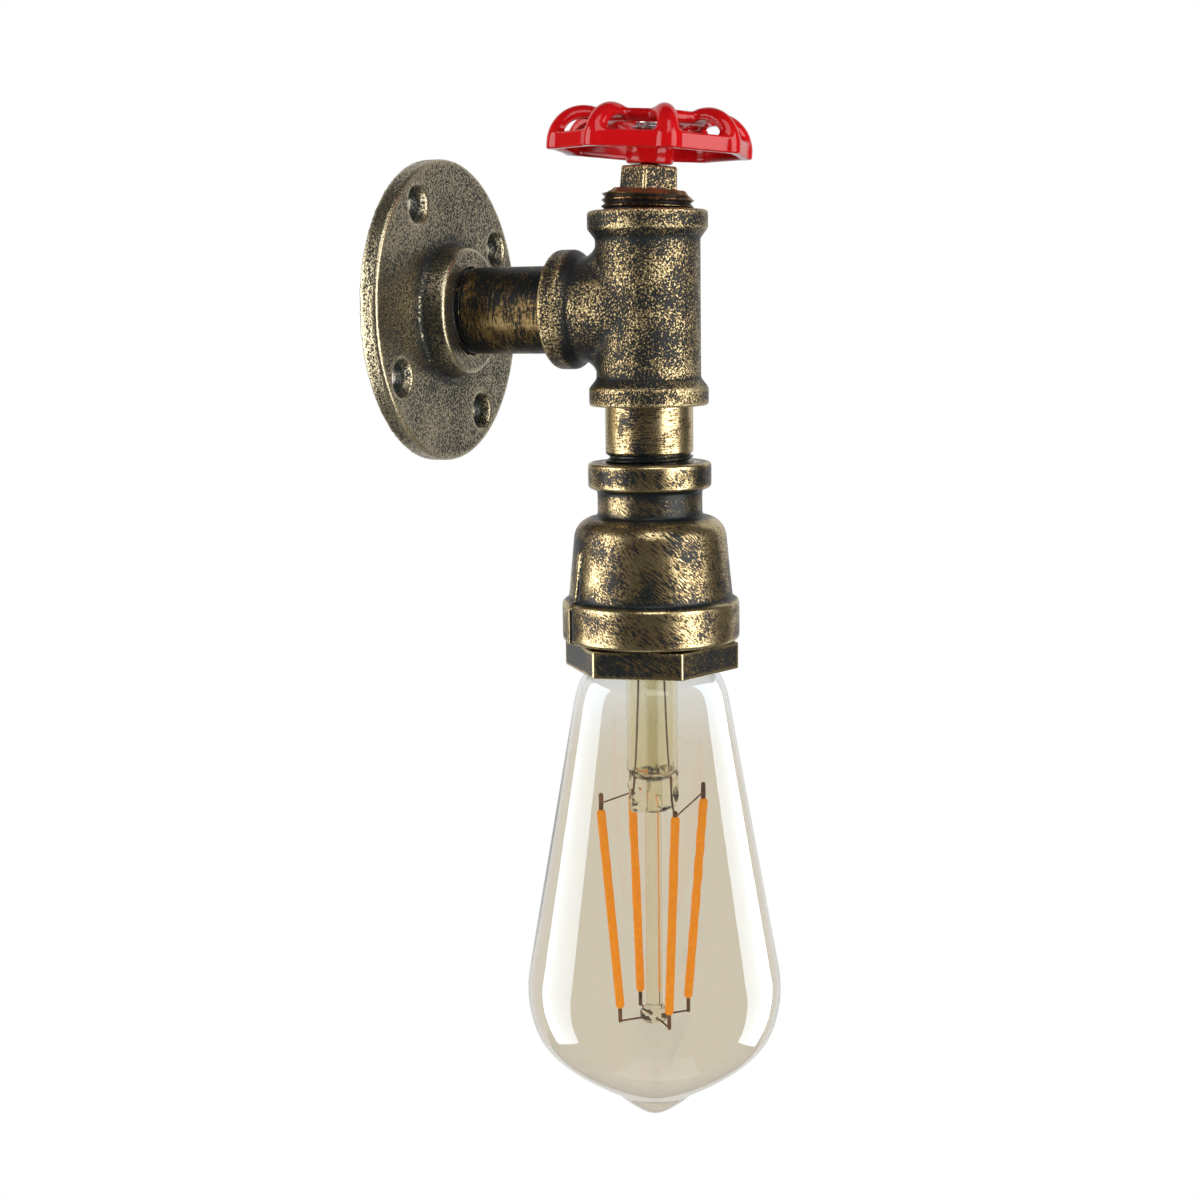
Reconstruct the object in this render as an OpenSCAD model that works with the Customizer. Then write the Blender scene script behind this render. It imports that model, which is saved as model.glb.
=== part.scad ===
// Pipe wall light: half-inch pipe fittings on a wall flange, a red valve handwheel on top
// and a bare filament bulb screwed into a lampholder below. Sizes are in millimetres.
// The origin is the centre of the flange's back face, +Y goes into the wall and +Z is up.

/* [Pipe] */
// Outside diameter of the pipe, which every fitting is tapped for
pipe_od = 21.6; // [20:0.1:23]
// Bore of the pipe
pipe_bore = 16; // [14:0.1:17.4]
// Distance from the wall to the lamp's axis
reach = 58.8; // [55:0.1:90]
// Length of pipe that screws into the tee and into the bell
engage = 10; // [8:0.1:11]
// Distance from the wall to the hidden end of the arm nipple
set_back = 0.8; // [0.5:0.1:2]
// Length of the drop nipple that shows between the tee and the bell
drop_show = 13.7; // [8:0.1:40]
// Radial gap in each made-up thread
thread_gap = 0.05; // [0.02:0.01:0.1]

/* [Wall flange] */
// Diameter of the flange
flange_d = 75.6; // [72:0.1:90]
// Thickness of the flange's plate
flange_t = 4.7; // [3.5:0.1:7]
// Rounding of the plate's front edge
flange_edge = 0.9; // [0.3:0.1:1.5]
// Height of the boss above the plate
boss_h = 6.1; // [4:0.1:12]
// Wall of the boss at its front
boss_wall = 5; // [3:0.1:7]
// Extra radius of the boss at its foot
boss_draft = 0.9; // [0.2:0.1:1.5]
// Fillet at the boss's foot
boss_fillet = 1.4; // [0.5:0.1:2]
// Number of wall screw holes
hole_count = 4; // [3:1:6]
// Circle that the wall screw holes lie on
hole_pcd = 61; // [58:0.1:62]
// Diameter of a wall screw hole
hole_d = 6.6; // [4.5:0.1:7]
// Diameter of the countersunk mouth
hole_mouth_d = 10; // [8:0.1:11]
// Angle of the first hole, from +X towards +Z
hole_turn = 31.5; // [0:0.5:90]

/* [Tee] */
// Distance from the tee's centre to each of its three faces
tee_half = 23.5; // [22.5:0.1:28]
// Wall of the tee's body outside the pipe's diameter
tee_wall = 2; // [1.5:0.1:3]
// Wall of the tee's end bands
band_wall = 3.85; // [3.3:0.05:5]
// Width of an end band
band_h = 4.9; // [3.5:0.1:6]
// Rounding of the edges of the bands
band_edge = 0.8; // [0.3:0.1:1.2]
// Blend radius between the branch and the run
crotch_r = 4.6; // [3:0.1:5]
// Bore of the passage inside the tee
passage_d = 18; // [16.5:0.1:19]

/* [Valve plug] */
// Lean of the plug and the handwheel away from upright
plug_lean = 3.2; // [0:0.1:3.5]
// Direction of the lean, from +X towards +Y
lean_toward = -68; // [-180:1:180]
// Gap between the tee's face and the plug's first bare thread
plug_clear = 0.75; // [0.7:0.05:1]
// Height of the bare thread
plug_show = 3.2; // [2:0.1:6]
// Extra radius of the bare part of the tapered thread
plug_swell = 0.4; // [0.1:0.05:0.6]
// Depth of the plug inside the tee
plug_depth = 9; // [7:0.1:10]
// Width of the square head at its foot
head_w = 10.4; // [9:0.1:13]
// Width of the head's top as a share of its foot
head_taper = 0.95; // [0.85:0.01:1]
// Height of the square head
head_h = 6.6; // [5:0.1:10]
// Angle of the square head
head_turn = 59; // [0:1:90]

/* [Handwheel] */
// Diameter of the handwheel across its lobes
wheel_d = 50.4; // [46:0.2:70]
// Number of lobes
lobes = 8; // [6:1:10]
// Angle of the first lobe, from +X towards +Y
lobe_turn = 32.5; // [0:0.5:45]
// Height of the wheel from its rim's foot to the top of its bars
wheel_h = 10.8; // [10:0.1:14]
// Height of the rim
rim_h = 3.9; // [3:0.1:5]
// Wall of the rim
rim_t = 2.4; // [1.8:0.1:3.5]
// How far the rim leans inwards at its top
rim_draft = 0.7; // [0:0.1:1]
// Width of a bar
bar_w = 5.8; // [4.5:0.1:7]
// Thickness of a bar
bar_t = 3.2; // [2.4:0.1:3.4]
// Bend radius of a bar along its middle
bar_bend = 7.5; // [6:0.1:7.8]
// Sweep of a bar's bend, past the top and down onto the inner ring
bar_sweep = 115; // [100:1:120]
// How far a bar stands out beyond the rim
bar_proud = 0.4; // [0.2:0.1:0.8]
// Thickness of the inner ring
ring_t = 3.2; // [2.4:0.1:4]
// How far the inner ring lies below the top of the bars
ring_drop = 1.1; // [0.8:0.1:2]
// Number of spokes
spokes = 4; // [3:1:6]
// Width of a spoke
spoke_w = 4; // [3:0.1:5]
// Diameter of the hub
hub_d = 11.6; // [10:0.1:14]
// Height of the hub
hub_h = 7.6; // [6:0.1:9]
// How far the hub stands out below the rim
hub_drop = 2.3; // [1.6:0.1:3]
// Gap between the hub and the pieces above and below it
hub_gap = 0.3; // [0.2:0.05:0.5]

/* [Wheel screw] */
// Diameter of the screw's shank, which the wheel turns on
screw_d = 4; // [3:0.1:5]
// Radial running gap of the hub on the shank
running_gap = 0.06; // [0.02:0.01:0.1]
// Length of the screw inside the plug
screw_grip = 7; // [5:0.1:9]
// Diameter of the screw's head
screw_head_d = 7.4; // [6.2:0.1:8.4]
// Height of the screw's head
screw_head_h = 2.4; // [1.6:0.1:3]
// Diameter of the washer
washer_d = 9; // [8.6:0.1:9.8]
// Thickness of the washer
washer_t = 0.8; // [0.6:0.1:1.2]

/* [Bell reducer] */
// Wall of the bell's top band
bell_band_wall = 4.4; // [3.5:0.1:6]
// Height of the bell's top band
bell_band_h = 6.4; // [5:0.1:9]
// Wall of the bell's neck
bell_neck_wall = 2.15; // [1.6:0.05:3]
// Height of the bell's neck below the band
bell_neck_h = 7; // [5:0.1:12]
// Radius of the bell's shoulder
shoulder_r = 5.5; // [4.5:0.1:7]
// Height of the tapered side below the shoulder
bell_side_h = 14.9; // [12:0.1:24]
// Taper of the bell's side
bell_taper = 1.45; // [0.5:0.05:2]
// Height of the bell's bottom band
bell_ring_h = 10.3; // [8:0.1:14]
// Step from the bell's side out to the bottom band
bell_ring_step = 1.65; // [1:0.05:2.2]
// Wall of the bottom band
bell_ring_wall = 3.05; // [2.6:0.05:4]
// Rounding of the bottom band
bell_edge = 1.2; // [0.5:0.1:1.5]
// Width of a casting rib
rib_w = 1.7; // [1:0.1:3]
// Height of a casting rib above the surface
rib_proud = 0.75; // [0.3:0.05:1.2]
// Angle of the casting ribs, from +X towards +Y
rib_turn = 139; // [0:1:180]

/* [Hex bushing] */
// Height of the hexagon
hex_h = 6.6; // [5:0.1:10]
// How far the flats stand out beyond the thread
hex_over = 0.2; // [0.1:0.1:3]
// Gap between the bell and the hexagon
hex_gap = 0.5; // [0.3:0.1:1]
// Angle of the hexagon's first corner
hex_turn = 41.8; // [0:0.1:60]
// Depth of the bushing's thread in the bell
bushing_depth = 12; // [9:0.1:13]
// Wall of the bushing round the lampholder
bushing_wall = 3; // [2:0.1:4]
// Height of the lip that the lampholder stands on
lip_h = 3; // [2:0.1:4]

/* [Lampholder] */
// Radial gap between the bulb's cap and the screw shell
shell_gap = 0.35; // [0.3:0.01:0.5]
// Wall of the screw shell
shell_t = 0.5; // [0.3:0.05:0.8]
// Wall of the porcelain body
porcelain_wall = 1.85; // [1.5:0.05:3]
// Gap between the porcelain and the metal round it
holder_gap = 0.1; // [0.05:0.05:0.3]
// Depth of the socket
socket_depth = 23.2; // [22:0.1:25]
// Thickness of the porcelain floor
floor_t = 4.5; // [4:0.1:6]
// Gap between the porcelain and the bell's cavity
cavity_gap = 0.5; // [0.3:0.05:0.7]
// Gap between the porcelain's top and the bell's ceiling
headroom = 0.3; // [0.2:0.05:0.6]
// Radius of the terminal chamber above the floor
chamber_r = 10.2; // [10:0.1:11]
// Thickness of the centre contact
contact_t = 0.4; // [0.3:0.05:0.6]
// Thickness of a terminal plate
terminal_t = 0.8; // [0.6:0.1:1]
// Diameter of a terminal screw
terminal_screw_d = 3; // [2.5:0.1:3.4]
// Distance of a terminal screw from the axis
terminal_x = 5; // [4.6:0.1:5.4]

/* [Bulb] */
// Largest diameter of the bulb
bulb_d = 64.5; // [58:0.5:70]
// Length of the bulb from its contact to its tip
bulb_len = 143; // [136:0.5:150]
// Diameter of the screw cap
cap_d = 26.1; // [25:0.1:27]
// Length of the cap with its contact
cap_len = 25; // [24:0.1:26]
// Wall of the cap
cap_t = 0.5; // [0.3:0.05:0.8]
// Thickness of the glass
glass_t = 0.9; // [0.6:0.05:1.4]
// Radius of the glass where the straight side starts
side_r = 19.4; // [18:0.1:21]
// Distance of that start from the contact
side_start = 34.2; // [32:0.1:38]
// Height of the rounded bottom, from the widest place
belly_h = 30.2; // [27:0.1:33]
// Length of the drawn tip below the rounded bottom
tip_h = 3.9; // [2:0.1:6]

/* [Bulb inside] */
// Diameter of the stem's tube
stem_d = 12.8; // [11:0.1:14]
// Distance from the contact to the bottom of the stem's tube
stem_len = 52; // [48:0.5:56]
// Length of the pressed part of the stem
press_h = 9.5; // [8:0.1:12]
// Thickness of the pressed part
press_t = 4.4; // [4:0.1:6]
// Diameter of the glass rod
rod_d = 4.2; // [3.5:0.1:5]
// Diameter of a filament
filament_d = 2.2; // [1.6:0.1:2.6]
// Length of a filament, measured along the axis
filament_len = 50.5; // [46:0.5:54]
// Distance from the contact to the top of the filaments
filament_start = 62; // [60:0.5:66]
// Radius of the circle of filament tops
filament_top_r = 14; // [11:0.1:15]
// Radius of the circle of filament bottoms
filament_foot_r = 9.5; // [8:0.1:11]
// Diameter of the wires inside the bulb
wire_d = 0.6; // [0.4:0.1:0.8]

/* [Hidden] */
$fn = 96;

// Heights along the lamp's axis, from the tee's centre downwards
bell_top = -tee_half - drop_show;
shoulder_top = bell_top - bell_band_h - bell_neck_h;
side_top = shoulder_top - shoulder_r;
ring_top = side_top - bell_side_h;
bell_foot = ring_top - bell_ring_h;
hex_top = bell_foot - hex_gap;
hex_foot = hex_top - hex_h;
holder_foot = hex_foot + lip_h;
socket_floor = holder_foot + socket_depth;
chamber_floor = socket_floor + floor_t;
touch_gap = 0.05;
lamp_top = socket_floor - contact_t - touch_gap;

// Radii, from the pipe and from the bulb's cap outwards
tapped_r = pipe_od / 2 + thread_gap;
tee_r = pipe_od / 2 + tee_wall;
band_r = pipe_od / 2 + band_wall;
band_slope = band_r - tee_r;
boss_front_r = pipe_od / 2 + boss_wall;
boss_foot_r = boss_front_r + boss_draft;
cap_r = cap_d / 2;
cap_bore_r = cap_r - cap_t;
shell_in_r = cap_r + shell_gap;
shell_out_r = shell_in_r + shell_t;
socket_r = shell_out_r + thread_gap;
holder_r = socket_r + porcelain_wall;
seat_r = holder_r + holder_gap;
lip_w = 1;
lip_r = holder_r - lip_w;
bushing_r = seat_r + bushing_wall;
mouth_r = bushing_r + thread_gap;
bell_band_r = pipe_od / 2 + bell_band_wall;
bell_neck_r = pipe_od / 2 + bell_neck_wall;
bell_ring_r = mouth_r + bell_ring_wall;
side_foot_r = bell_ring_r - bell_ring_step;
side_top_r = side_foot_r - bell_taper;
shoulder_mid_r = side_top_r - shoulder_r;
cavity_r = holder_r + cavity_gap;
bell_wall = side_top_r - cavity_r;
ceiling = shoulder_top - bell_wall;
holder_top = ceiling - headroom;
holder_chamfer = shoulder_r - bell_wall + holder_gap;
rib_start = 1.5;
rib_end = 0.4;

// Shape of the crotch blend: how far round the run it goes, and how deep it sinks into the arms
blend_end = 72;
blend_fade = cos(76);
blend_sink = 0.15;

// Heights above the tee's top face, along the leaning plug
head_foot = plug_clear + plug_show;
head_top = head_foot + head_h;
hub_foot = head_top + hub_gap;
rim_foot = hub_foot + hub_drop;
hub_top = hub_foot + hub_h;
washer_foot = hub_top + hub_gap;
washer_top = washer_foot + washer_t;
plug_chamfer = 1;
plug_round = 0.6;
head_sink = 0.5;
corner_cut = 1;
screw_head_round = 1.2;
cross_w = 0.9;
cross_depth = 1.8;

// Shape of the handwheel, measured from its rim's foot
rim_r = wheel_d / 2 - bar_proud;
bend_r = wheel_d / 2 - bar_t / 2 - bar_bend;
bend_z = wheel_h - bar_t / 2 - bar_bend;
ring_r = bend_r + bar_bend * cos(bar_sweep);
ring_z = wheel_h - ring_drop - ring_t / 2;
bar_crown = 0.55 * bar_w;
rim_edge = 0.5;
rim_foot_edge = 0.6;
hub_edge = 0.6;
spoke_from = hub_d / 2 - 1.5;
spoke_foot = 0.2;
spoke_top = hub_h - hub_drop - 0.4;

// Shape of the bulb, as distances below its contact
cap_rim_start = 5;
insulator_foot = 6.4;
contact_h = 1.2;
glass_start = cap_len - 6;
glass_neck_r = cap_bore_r - holder_gap;
shoulder_start = cap_len + 1.2;
belly_mid = bulb_len - tip_h - belly_h;
belly_from = -9.6;
nose_from = 21.9;
nose_r = 10.7;
nose_h = 6.9;
nose_slope = 37;
rod_end = filament_start + filament_len + 2;
star_level = rod_end + 2.5;
bead_r = 3.7;
pump_r = 1.6;
weld_d = 1.3 * wire_d;
press_turn = 135;
filament_turn = 45;
lead_in_r = 5;
contact_r = 4.8;
board_w = 16;
board_t = 1.2;
board_h = 12.8;
capacitor_d = 6;

// Terminals of the lampholder, measured from its axis
rivet_r = 1.5;
contact_len = 14;
contact_w = 5;
live_plate_end = 2;
neutral_plate_start = 3;
plate_end = 8;
plate_back = -2.6;
plate_front = 4.8;
strap_x = 8.6;
strap_w = 3;
terminal_screw_len = 4;
terminal_head_d = 4.8;
terminal_head_h = 1.8;
slot_w = 0.7;
slot_depth = 0.8;
shell_foot = holder_foot + 0.8;

// Route of one supply lead from its terminal to the back of the flange, as seen from the lamp's axis
lead_d = 2;
lead_route = [
    [5, 3.6, -56.8], [5, 3.6, -53], [4.4, 3, -49], [3.6, 1.8, -44], [3, 0.6, -39], [3, 0, -34],
    [3, 0, -28], [3, 0, -22], [3, 0, -16], [3, 0.6, -11], [3, 2.6, -6.6], [3, 5.8, -3],
    [3, 10, -0.8], [3, 15, 0], [3, 21, 0], [3, 27, 0], [3, 33, 0], [3, 39, 0], [3, 45, 0],
    [3, 51, 0], [3, 57, 0]
];
lead_sides = 8;

// Points of an arc about c, from angle a to angle b
function arc(c, r, a, b, n = 6) =
    [for (i = [0:n]) let (t = a + (b - a) * i / n) [c.x + r * cos(t), c.y + r * sin(t)]];

// Points of a cubic curve
function curve(a, b, c, d, n = 12) =
    [for (i = [0:n]) let (t = i / n, s = 1 - t) s^3 * a + 3 * s * s * t * b + 3 * s * t * t * c + t^3 * d];

// Places its children on the lamp's axis, at the height of the tee's centre
module on_axis(z = 0) translate([0, -reach, z]) children();

// Places its children on the leaning axis of the plug, h above the tee's top face
module leaning(h = 0)
    on_axis(tee_half)
        rotate([0, 0, lean_toward]) rotate([0, plug_lean, 0]) rotate([0, 0, -lean_toward])
            translate([0, 0, h]) children();

// Turns a shape that stands on the XY plane so that it stands on the wall
module on_wall() rotate([90, 0, 0]) children();

// A round rod between two points
module rod(a, b, d) {
    span = b - a;
    translate(a) rotate([0, acos(span.z / norm(span)), atan2(span.y, span.x)])
        cylinder(d = d, h = norm(span));
}

// A wire along a list of points, with a small weld bead at each bend
module wire(points) {
    for (i = [0:len(points) - 2]) rod(points[i], points[i + 1], wire_d);
    for (i = [1:1:len(points) - 2]) translate(points[i]) sphere(d = weld_d);
}

// Cast plate with a tapped boss and countersunk holes
module wall_flange() color("#6b5a3a") on_wall() difference() {
    rotate_extrude() polygon(concat(
        [[0, 0], [flange_d / 2, 0]],
        arc([flange_d / 2 - flange_edge, flange_t - flange_edge], flange_edge, 0, 90),
        arc([boss_foot_r + boss_fillet, flange_t + boss_fillet], boss_fillet, 270, 180),
        arc([boss_front_r - flange_edge, flange_t + boss_h - flange_edge], flange_edge, 0, 90),
        [[0, flange_t + boss_h]]
    ));
    translate([0, 0, -1]) cylinder(r = tapped_r, h = flange_t + boss_h + 2);
    for (i = [0:hole_count - 1]) rotate([0, 0, hole_turn + i * 360 / hole_count])
        translate([hole_pcd / 2, 0, 0]) wall_screw_hole();
}

// A screw hole through the flange, with its countersunk mouth
module wall_screw_hole() {
    sink = (hole_mouth_d - hole_d) / 2;
    translate([0, 0, -1]) cylinder(d = hole_d, h = flange_t + 2);
    translate([0, 0, flange_t - sink]) cylinder(d1 = hole_d, d2 = hole_mouth_d, h = sink);
    translate([0, 0, flange_t]) cylinder(d = hole_mouth_d, h = 1);
}

// A length of pipe along Z
module pipe(length) difference() {
    cylinder(d = pipe_od, h = length);
    translate([0, 0, -1]) cylinder(d = pipe_bore, h = length + 2);
}

module arm_nipple() color("#7a6238")
    on_wall() translate([0, 0, set_back]) pipe(reach - tee_half + engage - set_back);

module drop_nipple() color("#8a6f40")
    on_axis(bell_top - engage) pipe(drop_show + 2 * engage);

// Outline of one arm of the tee, from its centre to its banded end
function tee_arm() = concat(
    [[0, 0], [tee_r, 0], [tee_r, tee_half - band_h - band_slope]],
    arc([band_r - band_edge, tee_half - band_h + band_edge], band_edge, -45, 0, 3),
    arc([band_r - band_edge, tee_half - band_edge], band_edge, 0, 90),
    [[0, tee_half]]
);

module tee_arm_solid() rotate_extrude() polygon(tee_arm());

// Blend that fills the corner where the branch meets the run, fading out towards the sides
module crotch() {
    steps = 12;
    bend = 6;
    slices = [for (i = [0:steps]) let (
        a = blend_end * (2 * i / steps - 1),
        w = tee_r * cos(a),
        r = crotch_r * (cos(a) - blend_fade) / (1 - blend_fade),
        hollow = arc([w + r, w + r], r + blend_sink, 270, 180, bend)
    ) [for (q = concat([[w - 2, w - 2]], hollow)) [tee_r * sin(a), q.x, q.y]]];
    m = bend + 2;
    sides = [for (i = [0:steps - 1], j = [0:m - 1]) let (k = (j + 1) % m)
        each [[i * m + j, i * m + m + k, i * m + k], [i * m + j, i * m + m + j, i * m + m + k]]];
    ends = [for (j = [1:m - 2]) each [[0, j, j + 1], [steps * m, steps * m + j + 1, steps * m + j]]];
    polyhedron([for (s = slices) each s], concat(sides, ends));
}

// Cast tee: the run stands on the lamp's axis and the branch points at the wall
module pipe_tee() color("#5c4e34") difference() {
    on_axis() {
        tee_arm_solid();
        mirror([0, 0, 1]) tee_arm_solid();
        rotate([-90, 0, 0]) tee_arm_solid();
        crotch();
        mirror([0, 0, 1]) crotch();
    }
    on_axis(-tee_half + engage - 1) cylinder(d = passage_d, h = 2 * (tee_half - engage + 1));
    on_axis(-tee_half - 1) cylinder(r = tapped_r, h = engage + 1);
    leaning(-engage) cylinder(r = tapped_r, h = engage + 2);
    on_axis() rotate([-90, 0, 0]) {
        cylinder(d = passage_d, h = tee_half);
        translate([0, 0, tee_half - engage]) cylinder(r = tapped_r, h = engage + 1);
    }
}

// Square-headed plug, tapped for the screw that the handwheel turns on
module valve_plug() color("#4f4230") leaning() difference() {
    union() {
        rotate_extrude() polygon([
            [0, -plug_depth], [pipe_od / 2 - plug_chamfer, -plug_depth],
            [pipe_od / 2, plug_chamfer - plug_depth],
            [pipe_od / 2, plug_clear], [pipe_od / 2 + plug_swell, plug_clear],
            [pipe_od / 2 + plug_swell, head_foot - plug_round], [pipe_od / 2 - plug_round, head_foot],
            [0, head_foot]
        ]);
        rotate([0, 0, head_turn]) translate([0, 0, head_foot - head_sink])
            linear_extrude(head_h + head_sink, scale = head_taper) head_outline();
    }
    translate([0, 0, head_top - screw_grip - 1])
        cylinder(d = screw_d + 2 * thread_gap, h = screw_grip + 2);
}

// Square with slightly cut corners
module head_outline() intersection() {
    square(head_w, center = true);
    rotate(45) square(head_w * sqrt(2) - corner_cut, center = true);
}

// Section of a bar: flat inside, crowned outside
module bar_section() intersection() {
    square([bar_t, bar_w], center = true);
    translate([bar_t / 2 - bar_crown, 0]) circle(r = bar_crown);
}

// One lobe of the handwheel: a bar that rises from the rim and bends over onto the inner ring
module lobe() {
    translate([bend_r + bar_bend, 0, 0]) linear_extrude(bend_z) bar_section();
    translate([bend_r, 0, bend_z]) rotate([90, 0, 0]) rotate_extrude(angle = bar_sweep)
        translate([bar_bend, 0]) bar_section();
}

// A web that rises from the hub to the inner ring
module spoke() rotate([90, 0, 0]) linear_extrude(spoke_w, center = true) polygon([
    [spoke_from, spoke_foot], [ring_r, ring_z - 0.3 * ring_t],
    [ring_r, ring_z + 0.3 * ring_t], [spoke_from, spoke_top]
]);

// Cast handwheel: a rim with straight sides between the lobes, bars, an inner ring, spokes and a hub
module handwheel() color("#c4161c") leaning(rim_foot) difference() {
    union() {
        rotate([0, 0, lobe_turn]) rotate_extrude($fn = lobes) polygon([
            [rim_r - rim_foot_edge, 0], [rim_r, rim_foot_edge], [rim_r - rim_draft, rim_h - rim_edge],
            [rim_r - rim_draft - rim_edge, rim_h], [rim_r - rim_t + rim_edge, rim_h],
            [rim_r - rim_t, rim_h - rim_edge], [rim_r - rim_t, rim_edge], [rim_r - rim_t + rim_edge, 0]
        ]);
        for (i = [0:lobes - 1]) rotate([0, 0, lobe_turn + i * 360 / lobes]) lobe();
        rotate_extrude() translate([ring_r, ring_z]) circle(d = ring_t);
        for (i = [0:spokes - 1]) rotate([0, 0, lobe_turn + 180 / lobes + i * 360 / spokes]) spoke();
        translate([0, 0, -hub_drop]) rotate_extrude() polygon(concat(
            [[0, 0]], arc([hub_d / 2 - hub_edge, hub_edge], hub_edge, 270, 360),
            arc([hub_d / 2 - hub_edge, hub_h - hub_edge], hub_edge, 0, 90), [[0, hub_h]]
        ));
    }
    translate([0, 0, -hub_drop - 1]) cylinder(d = screw_d + 2 * running_gap, h = hub_h + 2);
}

module wheel_washer() color("#b9bbbd") leaning(washer_foot) difference() {
    cylinder(d = washer_d, h = washer_t);
    translate([0, 0, -1]) cylinder(d = screw_d + 2 * thread_gap, h = washer_t + 2);
}

// Pan-head screw with a cross recess
module wheel_screw() color("#c6c8ca") leaning() difference() {
    union() {
        translate([0, 0, head_top - screw_grip])
            cylinder(d = screw_d, h = washer_top - head_top + screw_grip);
        translate([0, 0, washer_top]) rotate_extrude() polygon(concat(
            [[0, 0], [screw_head_d / 2, 0]],
            arc([screw_head_d / 2 - screw_head_round, screw_head_h - screw_head_round],
                screw_head_round, 0, 80),
            [[0, screw_head_h]]
        ));
    }
    translate([0, 0, washer_top + screw_head_h]) for (a = [0, 90]) rotate([0, 0, a])
        cube([0.6 * screw_head_d, cross_w, 2 * cross_depth], center = true);
}

// Casting rib on the bell's side, from below the shoulder to the foot
module bell_rib() rotate([90, 0, 0]) linear_extrude(rib_w, center = true) polygon([
    [cavity_r + 1, side_top - rib_start], [side_top_r, side_top - rib_start],
    [side_top_r + rib_proud, side_top - 2 * rib_start], [side_foot_r + rib_proud, ring_top + rib_end],
    [bell_ring_r + rib_proud, ring_top - bell_edge], [bell_ring_r + rib_proud, bell_foot + rib_end],
    [mouth_r + 1, bell_foot + rib_end]
]);

// Bell reducer: a banded neck that opens through a round shoulder to a wide banded mouth
module bell_reducer() color("#6e5a38") on_axis() difference() {
    union() {
        rotate_extrude() polygon(concat(
            [[0, bell_top]],
            arc([bell_band_r - band_edge, bell_top - band_edge], band_edge, 90, 0),
            arc([bell_band_r - band_edge, bell_top - bell_band_h + band_edge], band_edge, 0, -60),
            [[bell_neck_r, bell_top - bell_band_h - 0.6], [bell_neck_r, shoulder_top + 0.5]],
            arc([shoulder_mid_r, side_top], shoulder_r, 88, 0, 12),
            [[side_foot_r, ring_top + 0.5]],
            arc([bell_ring_r - bell_edge, ring_top - bell_edge], bell_edge, 75, 0),
            arc([bell_ring_r - bell_edge, bell_foot + bell_edge], bell_edge, 0, -90),
            [[0, bell_foot]]
        ));
        for (a = [0, 180]) rotate([0, 0, rib_turn + a]) bell_rib();
    }
    translate([0, 0, ceiling - 1]) cylinder(r = tapped_r, h = bell_top - ceiling + 2);
    rotate_extrude() polygon(concat(
        [[0, ceiling]],
        arc([shoulder_mid_r, side_top], shoulder_r - bell_wall, 90, 0),
        [[cavity_r, bell_foot], [0, bell_foot]]
    ));
    translate([0, 0, bell_foot - 1]) cylinder(r = mouth_r, h = bushing_depth - hex_gap + 2);
}

// Bushing: a hexagon with a threaded sleeve that holds the lampholder on an inner lip
module hex_bushing() color("#2f2a20") on_axis() difference() {
    union() {
        translate([0, 0, hex_foot]) rotate([0, 0, hex_turn])
            cylinder(r = (bushing_r + hex_over / 2) / cos(30), h = hex_h, $fn = 6);
        translate([0, 0, hex_top - 1]) cylinder(r = bushing_r, h = bushing_depth + 1);
    }
    translate([0, 0, hex_foot - 1]) cylinder(r = lip_r, h = lip_h + 2);
    translate([0, 0, holder_foot]) cylinder(r = seat_r, h = hex_h + bushing_depth);
}

// Porcelain body with a socket below its floor and a terminal chamber above it
module holder_body() color("#efeae0") on_axis() difference() {
    rotate_extrude() polygon([
        [0, holder_foot], [holder_r, holder_foot], [holder_r, holder_top - holder_chamfer],
        [holder_r - holder_chamfer, holder_top], [0, holder_top]
    ]);
    translate([0, 0, holder_foot - 1]) cylinder(r = socket_r, h = socket_depth + 1);
    translate([0, 0, chamber_floor]) cylinder(r = chamber_r, h = holder_top - chamber_floor + 1);
    translate([0, 0, socket_floor - 1]) cylinder(r = rivet_r + thread_gap, h = floor_t + 2);
    for (x = [-terminal_x, terminal_x]) translate([x, 0, chamber_floor - terminal_screw_len - 0.2])
        cylinder(d = terminal_screw_d + 2 * thread_gap, h = terminal_screw_len + 1);
    translate([strap_x - thread_gap, -strap_w / 2 - thread_gap, socket_floor - 1])
        cube([terminal_t + 2 * thread_gap, strap_w + 2 * thread_gap, floor_t + 2]);
}

// Rolled screw shell, with a flange at its top that the neutral strap stands on
module holder_shell() color("#c9a24b") on_axis() rotate_extrude() polygon([
    [shell_in_r, shell_foot], [shell_out_r, shell_foot], [shell_out_r, socket_floor],
    [strap_x, socket_floor], [strap_x, socket_floor - shell_t], [shell_in_r, socket_floor - shell_t]
]);

// Centre contact: a tongue under the floor and the rivet that carries it
module holder_contact() color("#d0a850") on_axis(socket_floor) {
    translate([-contact_len / 2, -contact_w / 2, -contact_t]) cube([contact_len, contact_w, contact_t]);
    cylinder(r = rivet_r, h = floor_t);
}

// Live and neutral terminal plates; the neutral one has a strap down to the screw shell
module holder_terminals() color("#c9a24b") on_axis(chamber_floor) {
    difference() {
        union() {
            translate([-plate_end, plate_back, 0])
                cube([plate_end + live_plate_end, plate_front - plate_back, terminal_t]);
            translate([neutral_plate_start, plate_back, 0])
                cube([plate_end - neutral_plate_start, plate_front - plate_back, terminal_t]);
            translate([plate_end - 1, -strap_w / 2, 0])
                cube([strap_x + terminal_t - plate_end + 1, strap_w, terminal_t]);
            translate([strap_x, -strap_w / 2, -floor_t]) cube([terminal_t, strap_w, floor_t + terminal_t]);
        }
        for (x = [-terminal_x, terminal_x]) translate([x, 0, -1])
            cylinder(d = terminal_screw_d + 2 * thread_gap, h = terminal_t + 2);
    }
}

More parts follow.
